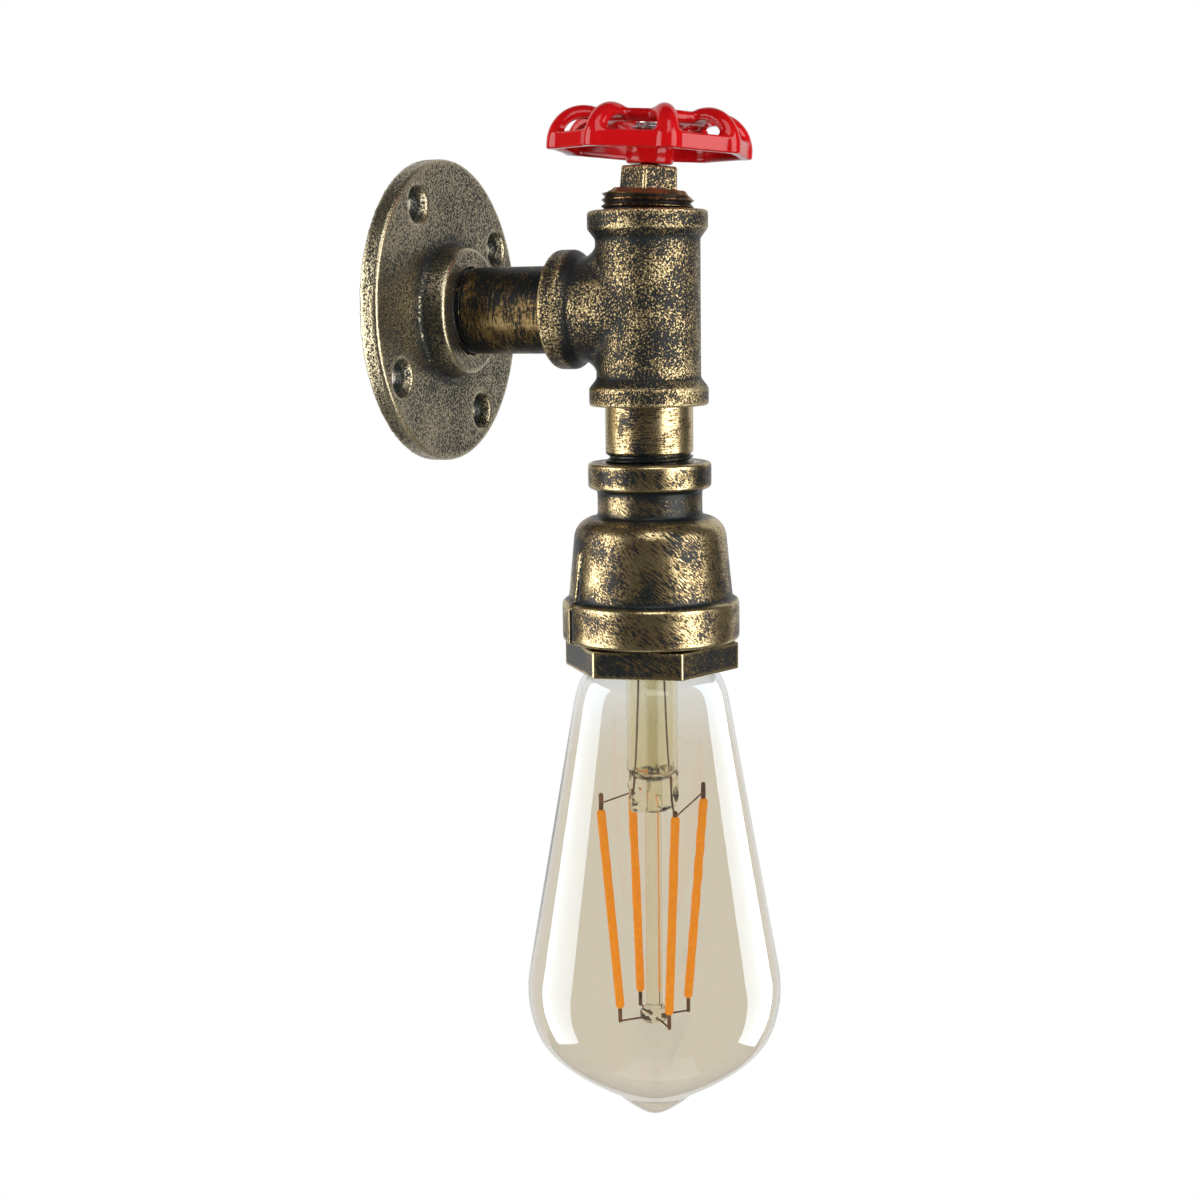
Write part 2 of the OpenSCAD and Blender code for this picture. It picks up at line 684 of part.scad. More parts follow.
module terminal_screws() color("#b8ab84") on_axis(chamber_floor)
    for (x = [-terminal_x, terminal_x]) translate([x, 0, 0]) difference() {
        union() {
            translate([0, 0, -terminal_screw_len])
                cylinder(d = terminal_screw_d, h = terminal_screw_len + terminal_t);
            translate([0, 0, terminal_t]) cylinder(d = terminal_head_d, h = terminal_head_h);
        }
        translate([0, 0, terminal_t + terminal_head_h])
            cube([2 * terminal_head_d, slot_w, 2 * slot_depth], center = true);
    }

// Insulated lead swept along its route; side is -1 for live and 1 for neutral
module lead(side) {
    route = [for (q = lead_route) [side * q.x, q.y - reach, q.z]];
    last = len(route) - 1;
    rings = [for (i = [0:last]) let (
        t = route[min(i + 1, last)] - route[max(i - 1, 0)],
        u = cross(t, [1, 0, 0]) / norm(cross(t, [1, 0, 0])),
        v = cross(t, u) / norm(cross(t, u))
    ) [for (k = [0:lead_sides - 1]) let (a = 360 * k / lead_sides)
        route[i] + lead_d / 2 * (cos(a) * u + sin(a) * v)]];
    m = lead_sides;
    walls = [for (i = [0:last - 1], j = [0:m - 1]) let (k = (j + 1) % m)
        each [[i * m + j, i * m + m + k, i * m + k], [i * m + j, i * m + m + j, i * m + m + k]]];
    ends = [for (j = [1:m - 2]) each [[0, j, j + 1], [last * m, last * m + j + 1, last * m + j]]];
    polyhedron([for (r = rings) each r], concat(walls, ends));
}

module live_lead() color("#7a4a2a") lead(-1);

module neutral_lead() color("#3d6fb5") lead(1);

// Outline of the glass between its neck and its side, set in by t
function glass_shoulder(t) = curve(
    [glass_neck_r + 0.9 - t, shoulder_start + 0.7 * t], [side_r - 2.1 - t, shoulder_start + 0.2 + 0.7 * t],
    [side_r - 1.2 - t, shoulder_start + 2.8 + 0.4 * t], [side_r - t, side_start + 0.2 * t]);

// Outline of the rounded bottom, set in by t, up to angle b
function glass_belly(t, b) = [for (i = [0:20]) let (a = belly_from + (b - belly_from) * i / 20)
    [(bulb_d / 2 - t) * cos(a), belly_mid + (belly_h - t) * sin(a)]];

function flip(points) = [for (i = [len(points) - 1:-1:0]) points[i]];

// Outline of the drawn tip, set in by t: the belly runs in to a short nose
function glass_tip(t) = let (
    from = [(bulb_d / 2 - t) * cos(nose_from), belly_mid + (belly_h - t) * sin(nose_from)],
    fall = [-sin(nose_from) * bulb_d / 2, cos(nose_from) * belly_h],
    slope = [-cos(nose_slope), sin(nose_slope)],
    nose = [nose_r, bulb_len - nose_h] - t * [sin(nose_slope), cos(nose_slope)],
    end = bulb_len - 1.5 * t
) concat(
    curve(from, from + 7.7 * fall / norm(fall), nose - 3.2 * slope, nose),
    curve(nose, nose + 2.2 * slope, [3.7 - 0.5 * t, end], [0, end])
);

// Pear-shaped glass with a drawn tip; its outline runs down outside and up again inside
module bulb_glass() color([0.86, 0.74, 0.52, 0.4]) lamp() turn([
    each [[glass_neck_r, glass_start], [glass_neck_r, cap_len]],
    each glass_shoulder(0),
    each glass_belly(0, nose_from),
    each glass_tip(0),
    each flip(glass_tip(glass_t)),
    each flip(glass_belly(glass_t, nose_from)),
    each flip(glass_shoulder(glass_t)),
    each [[glass_neck_r - glass_t, cap_len], [glass_neck_r - glass_t, glass_start]]
]);

// Places its children at the bulb's contact
module lamp() on_axis(lamp_top) children();

// Revolves an outline given as radius and distance below the contact
module turn(outline) rotate_extrude() polygon([for (q = outline) [q.x, -q.y]]);

// Glass stem: a flared tube with the pump tube inside it, a flat press, a rod and a bead
module bulb_stem() color([0.9, 0.86, 0.7, 0.6]) lamp() {
    flare_r = glass_neck_r - glass_t - touch_gap;
    tube_r = stem_d / 2;
    turn([
        each curve([flare_r, cap_len - 3], [flare_r - 3, cap_len - 2.5],
            [tube_r, cap_len], [tube_r, cap_len + 4]),
        each [[tube_r, stem_len], [0.7 * tube_r, stem_len + 2], [0, stem_len + 2]],
        each [[0, stem_len + 1], [0.6 * tube_r, stem_len + 1], [tube_r - glass_t, stem_len - 0.5]],
        each flip(curve([flare_r - 0.3, cap_len - 3.6], [flare_r - 4, cap_len - 3],
            [tube_r - glass_t, cap_len - 0.6], [tube_r - glass_t, cap_len + 4]))
    ]);
    turn([[0.9, cap_len - 4], [pump_r, cap_len - 4], [pump_r, stem_len + 1.2], [0.9, stem_len + 1.2]]);
    rotate([0, 0, press_turn]) rotate([90, 0, 0]) linear_extrude(press_t, center = true) polygon([
        [-tube_r, 0.5 - stem_len], [tube_r, 0.5 - stem_len], [tube_r + 0.2, 2.5 - stem_len - press_h],
        [rod_d / 2, -stem_len - press_h], [-rod_d / 2, -stem_len - press_h],
        [-tube_r - 0.2, 2.5 - stem_len - press_h]
    ]);
    turn([
        each [[0, stem_len + 3], [rod_d / 2, stem_len + 3], [rod_d / 2, rod_end]],
        each [[bead_r - 0.8, rod_end], [bead_r, rod_end + 1], [bead_r, rod_end + 2.6]],
        each [[bead_r - 0.9, rod_end + 3.6], [0, rod_end + 3.8]]
    ]);
}

// Point on the circle of filaments, at radius r and distance down below the contact
function around(i, r, down) =
    [r * cos(filament_turn + 90 * i), r * sin(filament_turn + 90 * i), -down];

// Four filaments, each a rod with round ends
module bulb_filaments() color("#f08a1c") lamp() for (i = [0:3]) {
    top = around(i, filament_top_r, filament_start);
    foot = around(i, filament_foot_r, filament_start + filament_len);
    rod(top, foot, filament_d);
    for (end = [top, foot]) translate(end) sphere(d = filament_d);
}

// Two lead-in wires, each joined to a pair of filaments, and the star that joins all four at the bottom
module filament_wires() color("#6a4a2c") lamp() {
    for (side = [0, 1]) {
        near = 2 * side;
        far = 2 * side + 1;
        near_top = around(near, filament_top_r, filament_start - 0.8);
        far_top = around(far, filament_top_r, filament_start);
        wire([
            around(far, lead_in_r - 1.6, cap_len + 2), around(far, lead_in_r, stem_len + 4),
            around(far, lead_in_r, stem_len + press_h - 1), near_top,
            around(near, filament_top_r, filament_start + 1)
        ]);
        wire([far_top - [0, 0, 1], far_top + [0, 0, 2.6], far_top + [0, 0, 4.6]]);
        wire([far_top + [0, 0, 2.6], near_top]);
    }
    for (i = [0:3]) wire([
        around(i, filament_foot_r, filament_start + filament_len - 1),
        around(i, filament_foot_r, star_level), around(i, 1.2, star_level)
    ]);
}

// Screw cap: a plain sleeve at the crest of its thread, flared where it meets the glass
module bulb_cap() color("#c8a860") lamp() turn([
    [cap_bore_r, cap_rim_start], [cap_r - 0.3, cap_rim_start], [cap_r, cap_rim_start + 0.5],
    [cap_r, cap_len - 3], [cap_r + 0.25, cap_len - 2], [cap_r + 0.25, cap_len], [cap_bore_r, cap_len]
]);

// Glass cone between the cap and its contact
module cap_insulator() color("#16181a") lamp() turn([
    [0, contact_h], [contact_r + 0.2, contact_h], [glass_neck_r - 0.2, cap_rim_start - 0.2],
    [glass_neck_r, cap_rim_start], [glass_neck_r, insulator_foot], [0, insulator_foot]
]);

module cap_contact() color("#cfcfc6") lamp() turn([
    [0, 0], [contact_r - 1.2, 0], [contact_r, 0.6], [contact_r, contact_h - touch_gap],
    [0, contact_h - touch_gap]
]);

// Driver board that stands on the insulator inside the cap
module driver_board() color("#2f6b45") lamp()
    translate([-board_w / 2, -board_t / 2, -insulator_foot - board_h]) cube([board_w, board_t, board_h]);

module driver_capacitor() color("#2a2d33") lamp()
    translate([0, board_t / 2 + capacitor_d / 2 + touch_gap, -insulator_foot - board_h])
        cylinder(d = capacitor_d, h = 0.7 * board_h);

wall_flange();
arm_nipple();
pipe_tee();
valve_plug();
handwheel();
wheel_washer();
wheel_screw();
drop_nipple();
bell_reducer();
hex_bushing();
holder_body();
holder_shell();
holder_contact();
holder_terminals();
terminal_screws();
live_lead();
neutral_lead();
bulb_glass();
bulb_stem();
bulb_filaments();
filament_wires();
bulb_cap();
cap_insulator();
cap_contact();
driver_board();
driver_capacitor();
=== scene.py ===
"""Looks of the pipe wall light: shaped pieces, antique and enamel finishes, glass, studio and camera.

Sizes of pieces are in millimetres, as a maker would note them, and MM turns them into metres.
Places of lamps and cards are in metres.
+Y goes into the wall, +Z is up, and the lamp hangs on an upright axis in front of the wall.
"""

from math import cos, pi, radians, sin, tau

import bpy
from mathutils import Matrix, Vector


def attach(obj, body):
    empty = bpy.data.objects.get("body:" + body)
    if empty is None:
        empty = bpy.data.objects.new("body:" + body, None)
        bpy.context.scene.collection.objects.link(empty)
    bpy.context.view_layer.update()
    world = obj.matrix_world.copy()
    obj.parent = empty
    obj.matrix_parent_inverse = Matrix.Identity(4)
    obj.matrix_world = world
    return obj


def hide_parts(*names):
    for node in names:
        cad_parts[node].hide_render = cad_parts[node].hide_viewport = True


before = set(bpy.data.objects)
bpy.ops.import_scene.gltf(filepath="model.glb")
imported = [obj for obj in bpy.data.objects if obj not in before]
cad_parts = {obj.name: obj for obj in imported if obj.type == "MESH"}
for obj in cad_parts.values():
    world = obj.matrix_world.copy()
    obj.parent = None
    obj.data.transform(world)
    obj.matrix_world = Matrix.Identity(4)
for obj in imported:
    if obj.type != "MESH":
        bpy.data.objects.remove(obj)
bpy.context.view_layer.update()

# Sizes of the fittings
MM = 0.001
DOUBLED = 0.002
REACH = 58.8
PIPE_R = 10.8
PIPE_BORE_R = 8.0
PIPE_PITCH = 1.814
TEE_HALF = 23.5
BELL_TOP = -37.2
ARM_ENDS = (1.6, 45.3)
ARM_BARE = (12.6, 34.6)
DROP_ENDS = (BELL_TOP - 10, -TEE_HALF + 10)
DROP_BARE = (BELL_TOP + 2.2, -TEE_HALF + 0.6)

# Sizes of the plug, the handwheel and its screw, along the leaning axis
PLUG_HEAD_FOOT = 3.95
PLUG_HEAD_TOP = 10.55
PLUG_HEAD_W = 10.4
PLUG_HEAD_TURN = 59
PLUG_PITCH = 1.5
LOBES = 8
LOBE_TURN = radians(32.5)
WHEEL_R = 25.2
RIM_FOOT = 13.15
RIM_H = 3.9
RIM_MID = RIM_FOOT + RIM_H / 2
RIM_T = 2.2
RIM_TAPER = 0.985
BAR_FROM = 14.8
BAR_HALF_W = 3.0
BAR_SLIM = 0.86
CORNER_FILL = 1.2
CORNER_GRAIN = 0.3
WASHER_FOOT = 18.75
WASHER_TOP = 19.55
WASHER_R = 4.5
SCREW_R = 2.0
SCREW_HEAD_R = 3.7
SCREW_TOP = WASHER_TOP + 2.4

# Sizes of the lampholder
SOCKET_FLOOR = -62.2
HOLDER_FOOT = -85.4
SHELL_R = 13.4
SHELL_TOP_R = (8.6, 13.8)
SOCKET_R = 13.95
LAMP_PITCH = 3.629

# Sizes of the bulb, as distances below its contact
LAMP_TOP = -62.65
CAP_R = 13.05
CAP_LEN = 25.0
NECK_R = 12.45
GLASS_T = 0.9
BULB_R = 32.25
BULB_LEN = 143.0
BELLY_MID = 108.9
BELLY_H = 30.2
BELLY_FROM = radians(-9.6)
BELLY_STEPS = 24
NOSE_FROM = radians(21.9)
NOSE_R = 10.7
NOSE_H = 6.9
NOSE_SLOPE = radians(37)
STEM_R = 6.4
STEM_LEN = 52.0
PRESS_H = 9.5
PRESS_W = 12.8
PRESS_T = 4.4
PRESS_TURN = radians(135)
ROD_R = 2.1
FILAMENT_R = 1.1
WIRE_R = 0.25
BRIDGE_R = 0.22
PIN_R = 0.6
FOOT_PIN_R = 0.5
FILAMENT_START = 62.0
FILAMENT_LEN = 50.5
FILAMENT_TOP_R = 14.0
FILAMENT_FOOT_R = 9.5
STAR_LEVEL = 117.0
BOARD_T = 1.2

# Places: each piece is shaped on its own upright axis and then put on one of these
AT_ORIGIN = Matrix.Identity(4)
LEAN = radians(3.2)
LEAN_TOWARD = radians(-68)
ON_WALL = Matrix.Rotation(pi / 2, 4, "X")
ON_AXIS = Matrix.Translation((0, -REACH * MM, 0))
ON_PLUG = (
    Matrix.Translation((0, -REACH * MM, TEE_HALF * MM))
    @ Matrix.Rotation(LEAN_TOWARD, 4, "Z")
    @ Matrix.Rotation(LEAN, 4, "Y")
    @ Matrix.Rotation(-LEAN_TOWARD, 4, "Z")
)
ON_LAMP = Matrix.Translation((0, -REACH * MM, LAMP_TOP * MM))


# Modelling

def pick(piece):
    """Makes one piece the only selected and the active one."""
    bpy.ops.object.select_all(action="DESELECT")
    piece.select_set(True)
    bpy.context.view_layer.objects.active = piece


def named(name):
    """Names the piece that was just added."""
    piece = bpy.context.object
    piece.name = piece.data.name = name
    return piece


def edit(piece):
    """Opens a piece for editing, with all of it selected."""
    pick(piece)
    bpy.ops.object.mode_set(mode="EDIT")
    bpy.ops.mesh.select_all(action="SELECT")


def close():
    """Ends editing."""
    bpy.ops.object.mode_set(mode="OBJECT")


def modify(piece, kind, **settings):
    """Adds a modifier and applies it."""
    pick(piece)
    modifier = piece.modifiers.new(kind.title(), kind)
    for key, value in settings.items():
        setattr(modifier, key, value)
    bpy.ops.object.modifier_apply(modifier=modifier.name)
    return piece


def place(piece, where):
    """Puts a piece in its place, which is then kept in its mesh."""
    pick(piece)
    piece.matrix_world = where
    bpy.ops.object.transform_apply()
    return piece


def smooth(piece, angle=35):
    """Shades a piece smooth, apart from edges sharper than the angle."""
    pick(piece)
    bpy.ops.object.shade_smooth_by_angle(angle=radians(angle))
    return piece


def mend(piece):
    """Merges doubled points and turns the faces outwards."""
    edit(piece)
    bpy.ops.mesh.remove_doubles(threshold=DOUBLED * MM)
    bpy.ops.mesh.normals_make_consistent(inside=False)
    close()
    return piece


def line(name, points):
    """One point, extruded through the others."""
    bpy.ops.object.select_all(action="DESELECT")
    bpy.ops.mesh.primitive_plane_add(size=MM, location=(0, 0, 0))
    piece = named(name)
    bpy.ops.object.mode_set(mode="EDIT")
    bpy.ops.mesh.select_all(action="SELECT")
    bpy.ops.mesh.merge(type="CENTER")
    path = [Vector(p) * MM for p in points]
    bpy.ops.transform.translate(value=path[0])
    for a, b in zip(path, path[1:]):
        bpy.ops.mesh.extrude_vertices_move(TRANSFORM_OT_translate={"value": b - a})
    close()
    return piece


def block(name, size, centre, turn=0.0):
    """A block, turned about its upright axis."""
    bpy.ops.object.select_all(action="DESELECT")
    bpy.ops.mesh.primitive_cube_add(size=1, location=Vector(centre) * MM, rotation=(0, 0, turn),
                                    scale=Vector(size) * MM)
    piece = named(name)
    bpy.ops.object.transform_apply()
    return piece


def turned(name, outline, where, steps=96, closed=True):
    """Spins an outline of radius and height round the upright axis."""
    points = [(r, 0, h) for r, h in outline]
    piece = line(name, points + points[:1] if closed else points)
    edit(piece)
    bpy.ops.mesh.spin(steps=steps, angle=tau, center=(0, 0, 0), axis=(0, 0, 1))
    close()
    mend(piece)
    return place(piece, where)


def threaded(name, root, crest, pitch, foot, top, wall, flat=0.2, steps=72):
    """A threaded tube: one ridge, screwed up its axis, cut level at both ends and given a wall."""
    ridge = [(root, 0, 0), (root, 0, flat * pitch), (crest, 0, (0.5 + flat / 4) * pitch),
             (crest, 0, (0.5 + 3 * flat / 4) * pitch), (root, 0, pitch)]
    piece = line(name, ridge)
    turns = int((top - foot) / pitch) + 3
    modify(piece, "SCREW", axis="Z", angle=tau, screw_offset=pitch * MM, iterations=turns, steps=steps,
           render_steps=steps, use_merge_vertices=True, merge_threshold=DOUBLED * MM)
    edit(piece)
    bpy.ops.transform.translate(value=(0, 0, (foot - 1.2 * pitch) * MM))
    bpy.ops.mesh.remove_doubles(threshold=DOUBLED * MM)
    bpy.ops.mesh.bisect(plane_co=(0, 0, foot * MM), plane_no=(0, 0, 1), clear_inner=True)
    bpy.ops.mesh.select_all(action="SELECT")
    bpy.ops.mesh.bisect(plane_co=(0, 0, top * MM), plane_no=(0, 0, 1), clear_outer=True)
    bpy.ops.mesh.select_all(action="SELECT")
    bpy.ops.mesh.normals_make_consistent(inside=False)
    close()
    return modify(piece, "SOLIDIFY", thickness=wall * MM, offset=-1)


def drawn(name, points, radius, where, rounding=2):
    """A round wire drawn along points, with its bends rounded."""
    wire = line(name, points)
    if rounding:
        modify(wire, "SUBSURF", levels=rounding, render_levels=rounding)
    pick(wire)
    bpy.ops.object.convert(target="CURVE")
    tube = bpy.context.object
    tube.data.bevel_depth = radius * MM
    tube.data.bevel_resolution = 3
    tube.data.use_fill_caps = True
    bpy.ops.object.convert(target="MESH")
    return mend(place(named(name), where))


def joined(name, parts):
    """Joins several shapes into one piece."""
    bpy.ops.object.select_all(action="DESELECT")
    for part in parts:
        part.select_set(True)
    bpy.context.view_layer.objects.active = parts[0]
    bpy.ops.object.join()
    return named(name)


def cut(piece, tool):
    """Cuts a shape out of a piece."""
    modify(piece, "BOOLEAN", operation="DIFFERENCE", object=tool, solver="EXACT")
    bpy.data.objects.remove(tool)
    return piece


def softened(piece, grain, rounds):
    """Runs the edges and corners of a piece together, as a sand mould and paint do."""
    modify(piece, "REMESH", mode="VOXEL", voxel_size=grain * MM, use_smooth_shade=True)
    modify(piece, "SMOOTH", factor=0.5, iterations=rounds)
    return piece


def merged(name, cad_node):
    """A copy of a node's shape, with its faces joined up."""
    pick(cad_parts[cad_node])
    bpy.ops.object.duplicate()
    return mend(named(name))


def cast(name, cad_node, grain, rounds):
    """A soft-edged casting of a node's shape."""
    return softened(merged(name, cad_node), grain, rounds)


def mark_wear_and_shade(piece):
    """Notes on each point how far it stands out from its surroundings or sinks into them, for edge wear
    and painted shade in creases.
    """
    pick(piece)
    bpy.ops.geometry.color_attribute_add(name="wear_and_shade", domain="CORNER", data_type="FLOAT_COLOR",
                                         color=(1, 1, 1, 1))
    bpy.ops.paint.vertex_color_dirt(blur_strength=1, blur_iterations=2, dirt_angle=radians(65),
                                    clean_angle=radians(115), normalize=False)
    return piece


def fit(piece, body, slot, finish, *nodes):
    """Gives a piece its finish and its body, and hides the nodes that it stands for."""
    piece.data.materials.clear()
    piece.data.materials.append(finish)
    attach(piece, body)
    if nodes:
        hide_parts(*nodes)
    return piece


# Finishes

def node(tree, kind, sockets=None, **settings):
    """Adds a shader node, with values or links for its sockets."""
    shader = tree.nodes.new("ShaderNode" + kind)
    for key, value in settings.items():
        setattr(shader, key, value)
    for key, value in (sockets or {}).items():
        if isinstance(value, bpy.types.NodeSocket):
            tree.links.new(value, shader.inputs[key])
        else:
            shader.inputs[key].default_value = value
    return shader


def new_finish(name, **sockets):
    """A finish with plain values on its main shader."""
    finish = bpy.data.materials.new(name)
    finish.use_nodes = True
    main = finish.node_tree.nodes["Principled BSDF"]
    for key, value in sockets.items():
        main.inputs[key.replace("_", " ").title().replace("Ior", "IOR")].default_value = value
    return finish, finish.node_tree, main


def link(tree, source, target):
    """Joins an output to an input."""
    tree.links.new(source, target)


def emboss(tree, main, height, strength, depth):
    """Raises a surface by a pattern, as bump."""
    bump = node(tree, "Bump", {"Height": height, "Strength": strength, "Distance": depth * MM})
    link(tree, bump.outputs["Normal"], main.inputs["Normal"])


def coordinates(tree, along=None, length=1.0):
    """Places on the object; a pattern that reads them is drawn out to a length along one direction."""
    spot = node(tree, "TexCoord").outputs["Object"]
    if along is None:
        return spot
    turn = Vector(along).to_track_quat("Z", "Y").to_euler()
    return node(tree, "Mapping", {"Vector": spot, "Rotation": turn, "Scale": (1, 1, length)},
                vector_type="TEXTURE").outputs["Vector"]


def noise(tree, where, scale, detail=3.0, roughness=0.6, distortion=0.0):
    """Cloudy noise with a number of clouds per metre."""
    return node(tree, "TexNoise", {"Vector": where, "Scale": scale, "Detail": detail,
                                   "Roughness": roughness, "Distortion": distortion}).outputs["Fac"]


def ramp(tree, value, low, high, to_low=0.0, to_high=1.0):
    """A smooth step from one level to another."""
    return node(tree, "MapRange", {"Value": value, "From Min": low, "From Max": high, "To Min": to_low,
                                   "To Max": to_high}, interpolation_type="SMOOTHSTEP").outputs["Result"]


def maths(tree, operation, a, b=0.0):
    """One sum."""
    return node(tree, "Math", {0: a, 1: b}, operation=operation).outputs[0]


def shifted(tree, value, pattern, by):
    """A value moved up and down by a pattern that lies about a half."""
    return maths(tree, "ADD", value, maths(tree, "MULTIPLY", maths(tree, "SUBTRACT", pattern, 0.5), by))


def mix(tree, share, a, b):
    """A share of colour b over colour a."""
    return node(tree, "Mix", {"Factor": share, 6: a, 7: b}, data_type="RGBA").outputs[2]


BLOTCH_GRAIN = 110


def antique(name, grain, share, strokes=0.0, along=(0, 0, 1), length=1.0, bristle=900, curl=0.0,
            edge=0.0, hollow_shade=0.0, shade=8, open_at=0.97, deep_at=0.62, blotch=0.5, relief=0.25,
            gloss=(0.34, 0.24), lacquer=0.27, gold=(0.66, 0.54, 0.30, 1),
            brown=(0.28, 0.175, 0.062, 1), dark=(0.011, 0.0138, 0.0138, 1)):
    """Gold brushed dry over black: it catches on the grain and the edges, and creases and hollows stay
    dark, partly where the brush misses them and partly as painted shade.

    Grain and bristle count specks per metre, share is how much ends up gold, strokes weighs the brush
    against the grain, and edge, hollow and blotch say how far each of these moves the gold; edge also
    takes gold out of creases and hollow takes it out of enclosed places, both partly as painted shade.
    """
    finish, tree, main = new_finish(name, specular_ior_level=lacquer)
    speckle = noise(tree, coordinates(tree), grain, distortion=curl)
    cloud = noise(tree, coordinates(tree), BLOTCH_GRAIN, 4)
    cover = speckle
    if strokes:
        brush = noise(tree, coordinates(tree, along, length), bristle, 4, 0.65)
        cover = node(tree, "Mix", {"Factor": strokes, 2: speckle, 3: brush}).outputs[0]
    cover = shifted(tree, cover, cloud, blotch)
    # Standing edges gain gold, as wear; creases lose it, as painted shade
    if edge:
        cover = shifted(tree, cover, node(tree, "Attribute", attribute_name="wear_and_shade").outputs["Fac"], edge)
    # Places shut in by the object's own shape lose gold: partly brush that misses them, partly painted
    # shade
    if hollow_shade:
        sky = node(tree, "AmbientOcclusion", {"Distance": shade * MM}, samples=6, only_local=True)
        hollow_shade_mask = ramp(tree, sky.outputs["AO"], deep_at, open_at, hollow_shade, 0.0)
        cover = maths(tree, "SUBTRACT", cover, hollow_shade_mask)
    level = 1 - share
    thin = ramp(tree, cover, level - 0.04, level + 0.03)
    thick = ramp(tree, cover, level, level + 0.11)
    link(tree, mix(tree, thick, mix(tree, thin, dark, brown), gold), main.inputs["Base Color"])
    link(tree, ramp(tree, thin, 0, 1, 0.0, 0.94), main.inputs["Metallic"])
    link(tree, ramp(tree, thick, 0, 1, gloss[0], gloss[1]), main.inputs["Roughness"])
    emboss(tree, main, speckle, relief, 0.25)
    return finish


# Grain and share of the gold come first, then the strokes of the brush, if they show
STROKE = (0.31, -0.72, -0.62)
flange_gilt = antique("flange_gilt", 1750, 0.53, curl=0.5, edge=1.5, hollow_shade=0.45, open_at=0.88,
                      deep_at=0.6, relief=0.5, blotch=0.25, gold=(0.57, 0.495, 0.33, 1),
                      brown=(0.24, 0.195, 0.11, 1), dark=(0.018, 0.022, 0.022, 1))
tee_gilt = antique("tee_gilt", 2100, 0.46, edge=1.8, hollow_shade=0.5, shade=14, deep_at=0.5, relief=0.9,
                   blotch=0.55)
pipe_gilt = antique("pipe_gilt", 1500, 0.46, 0.6, (0, 1, 0), 0.15, 420, relief=0.1, blotch=0.7,
                    gloss=(0.42, 0.36), gold=(0.38, 0.27, 0.12, 1), brown=(0.19, 0.12, 0.045, 1))
drop_gilt = antique("drop_gilt", 2400, 0.55, 0.55, (0, 0, 1), 0.12, 380, relief=0.1, blotch=0.7)
thread_dark = antique("thread_dark", 1500, 0.36, relief=0.1, blotch=0.4)
bell_gilt = antique("bell_gilt", 2500, 0.485, 0.8, STROKE, 12, 3300, edge=1.6, hollow_shade=0.22,
                    relief=0.12, blotch=0.6)
hex_gilt = antique("hex_gilt", 2400, 0.43, 0.7, STROKE, 14, 2400, edge=3.2, relief=0.12, blotch=0.3,
                   lacquer=0.5)
plug_gilt = antique("plug_gilt", 2000, 0.43, edge=1.8, relief=0.6, blotch=0.5)
thread_rust = antique("thread_rust", 1200, 0.38, edge=1.6, relief=0.2, gold=(0.50, 0.38, 0.19, 1),
                      brown=(0.15, 0.045, 0.018, 1), dark=(0.014, 0.012, 0.010, 1))


def enamel():
    """Glossy red enamel: darker in the corners, as painted shade, with a faint orange-peel surface."""
    finish, tree, main = new_finish("red_enamel", roughness=0.14, specular_ior_level=0.4)
    where = coordinates(tree)
    wear_and_shade = node(tree, "Attribute", attribute_name="wear_and_shade").outputs["Fac"]
    uneven = maths(tree, "ADD", wear_and_shade, maths(tree, "MULTIPLY", noise(tree, where, 260), 0.1))
    # Painted shade: the red darkens where the surface sinks into a corner
    corner_shade_mask = ramp(tree, uneven, 0.42, 0.56)
    link(tree, mix(tree, corner_shade_mask, (0.32, 0.004, 0.006, 1), (0.59, 0.006, 0.008, 1)),
         main.inputs["Base Color"])
    emboss(tree, main, noise(tree, where, 420, 2), 0.05, 0.3)
    return finish


def metal(name, colour, tint, roughness, length=1.0, grain=900):
    """Bare metal with fine marks of the tool that made it."""
    finish, tree, main = new_finish(name, metallic=1.0)
    where = coordinates(tree, (0, 0, 1), length)
    marks = noise(tree, where, grain, 4)
    link(tree, mix(tree, ramp(tree, noise(tree, where, grain * 0.2), 0.35, 0.65), colour, tint),
         main.inputs["Base Color"])
    link(tree, ramp(tree, marks, 0.3, 0.7, roughness - 0.06, roughness + 0.1), main.inputs["Roughness"])
    emboss(tree, main, marks, 0.08, 0.1)
    return finish


def dull(name, colour, tint, roughness, grain=500, relief=0.05, shine=0.5):
    """Plastic, glaze or coating with a faint cloudiness."""
    finish, tree, main = new_finish(name, roughness=roughness, specular_ior_level=shine)
    cloud = noise(tree, coordinates(tree), grain)
    link(tree, mix(tree, ramp(tree, cloud, 0.35, 0.65), colour, tint), main.inputs["Base Color"])
    emboss(tree, main, cloud, relief, 0.2)
    return finish


# Heights in metres between which the coating grows from nothing to its full depth
COAT_FROM = -0.084
COAT_FULL = -0.112


def amber():
    """Clear glass whose amber coating fades out towards the neck."""
    finish, tree, main = new_finish("amber_glass", roughness=0.0, transmission_weight=1.0, ior=1.5)
    height = node(tree, "SeparateXYZ", {"Vector": node(tree, "TexCoord").outputs["Object"]}).outputs["Z"]
    wavy = shifted(tree, height, noise(tree, coordinates(tree), 30), 0.008)
    coat = ramp(tree, wavy, COAT_FROM, COAT_FULL)
    link(tree, mix(tree, coat, (0.865, 0.88, 0.89, 1), (0.80, 0.757, 0.665, 1)),
         main.inputs["Base Color"])
    return finish


def stem_clear():
    """Pressed clear glass, faintly yellow and wavy."""
    finish, tree, main = new_finish("stem_clear", roughness=0.02, transmission_weight=1.0, ior=1.5)
    where = coordinates(tree)
    link(tree, mix(tree, noise(tree, where, 120), (0.95, 0.93, 0.82, 1), (0.895, 0.86, 0.68, 1)),
         main.inputs["Base Color"])
    emboss(tree, main, noise(tree, where, 150, 2), 0.12, 0.6)
    return finish


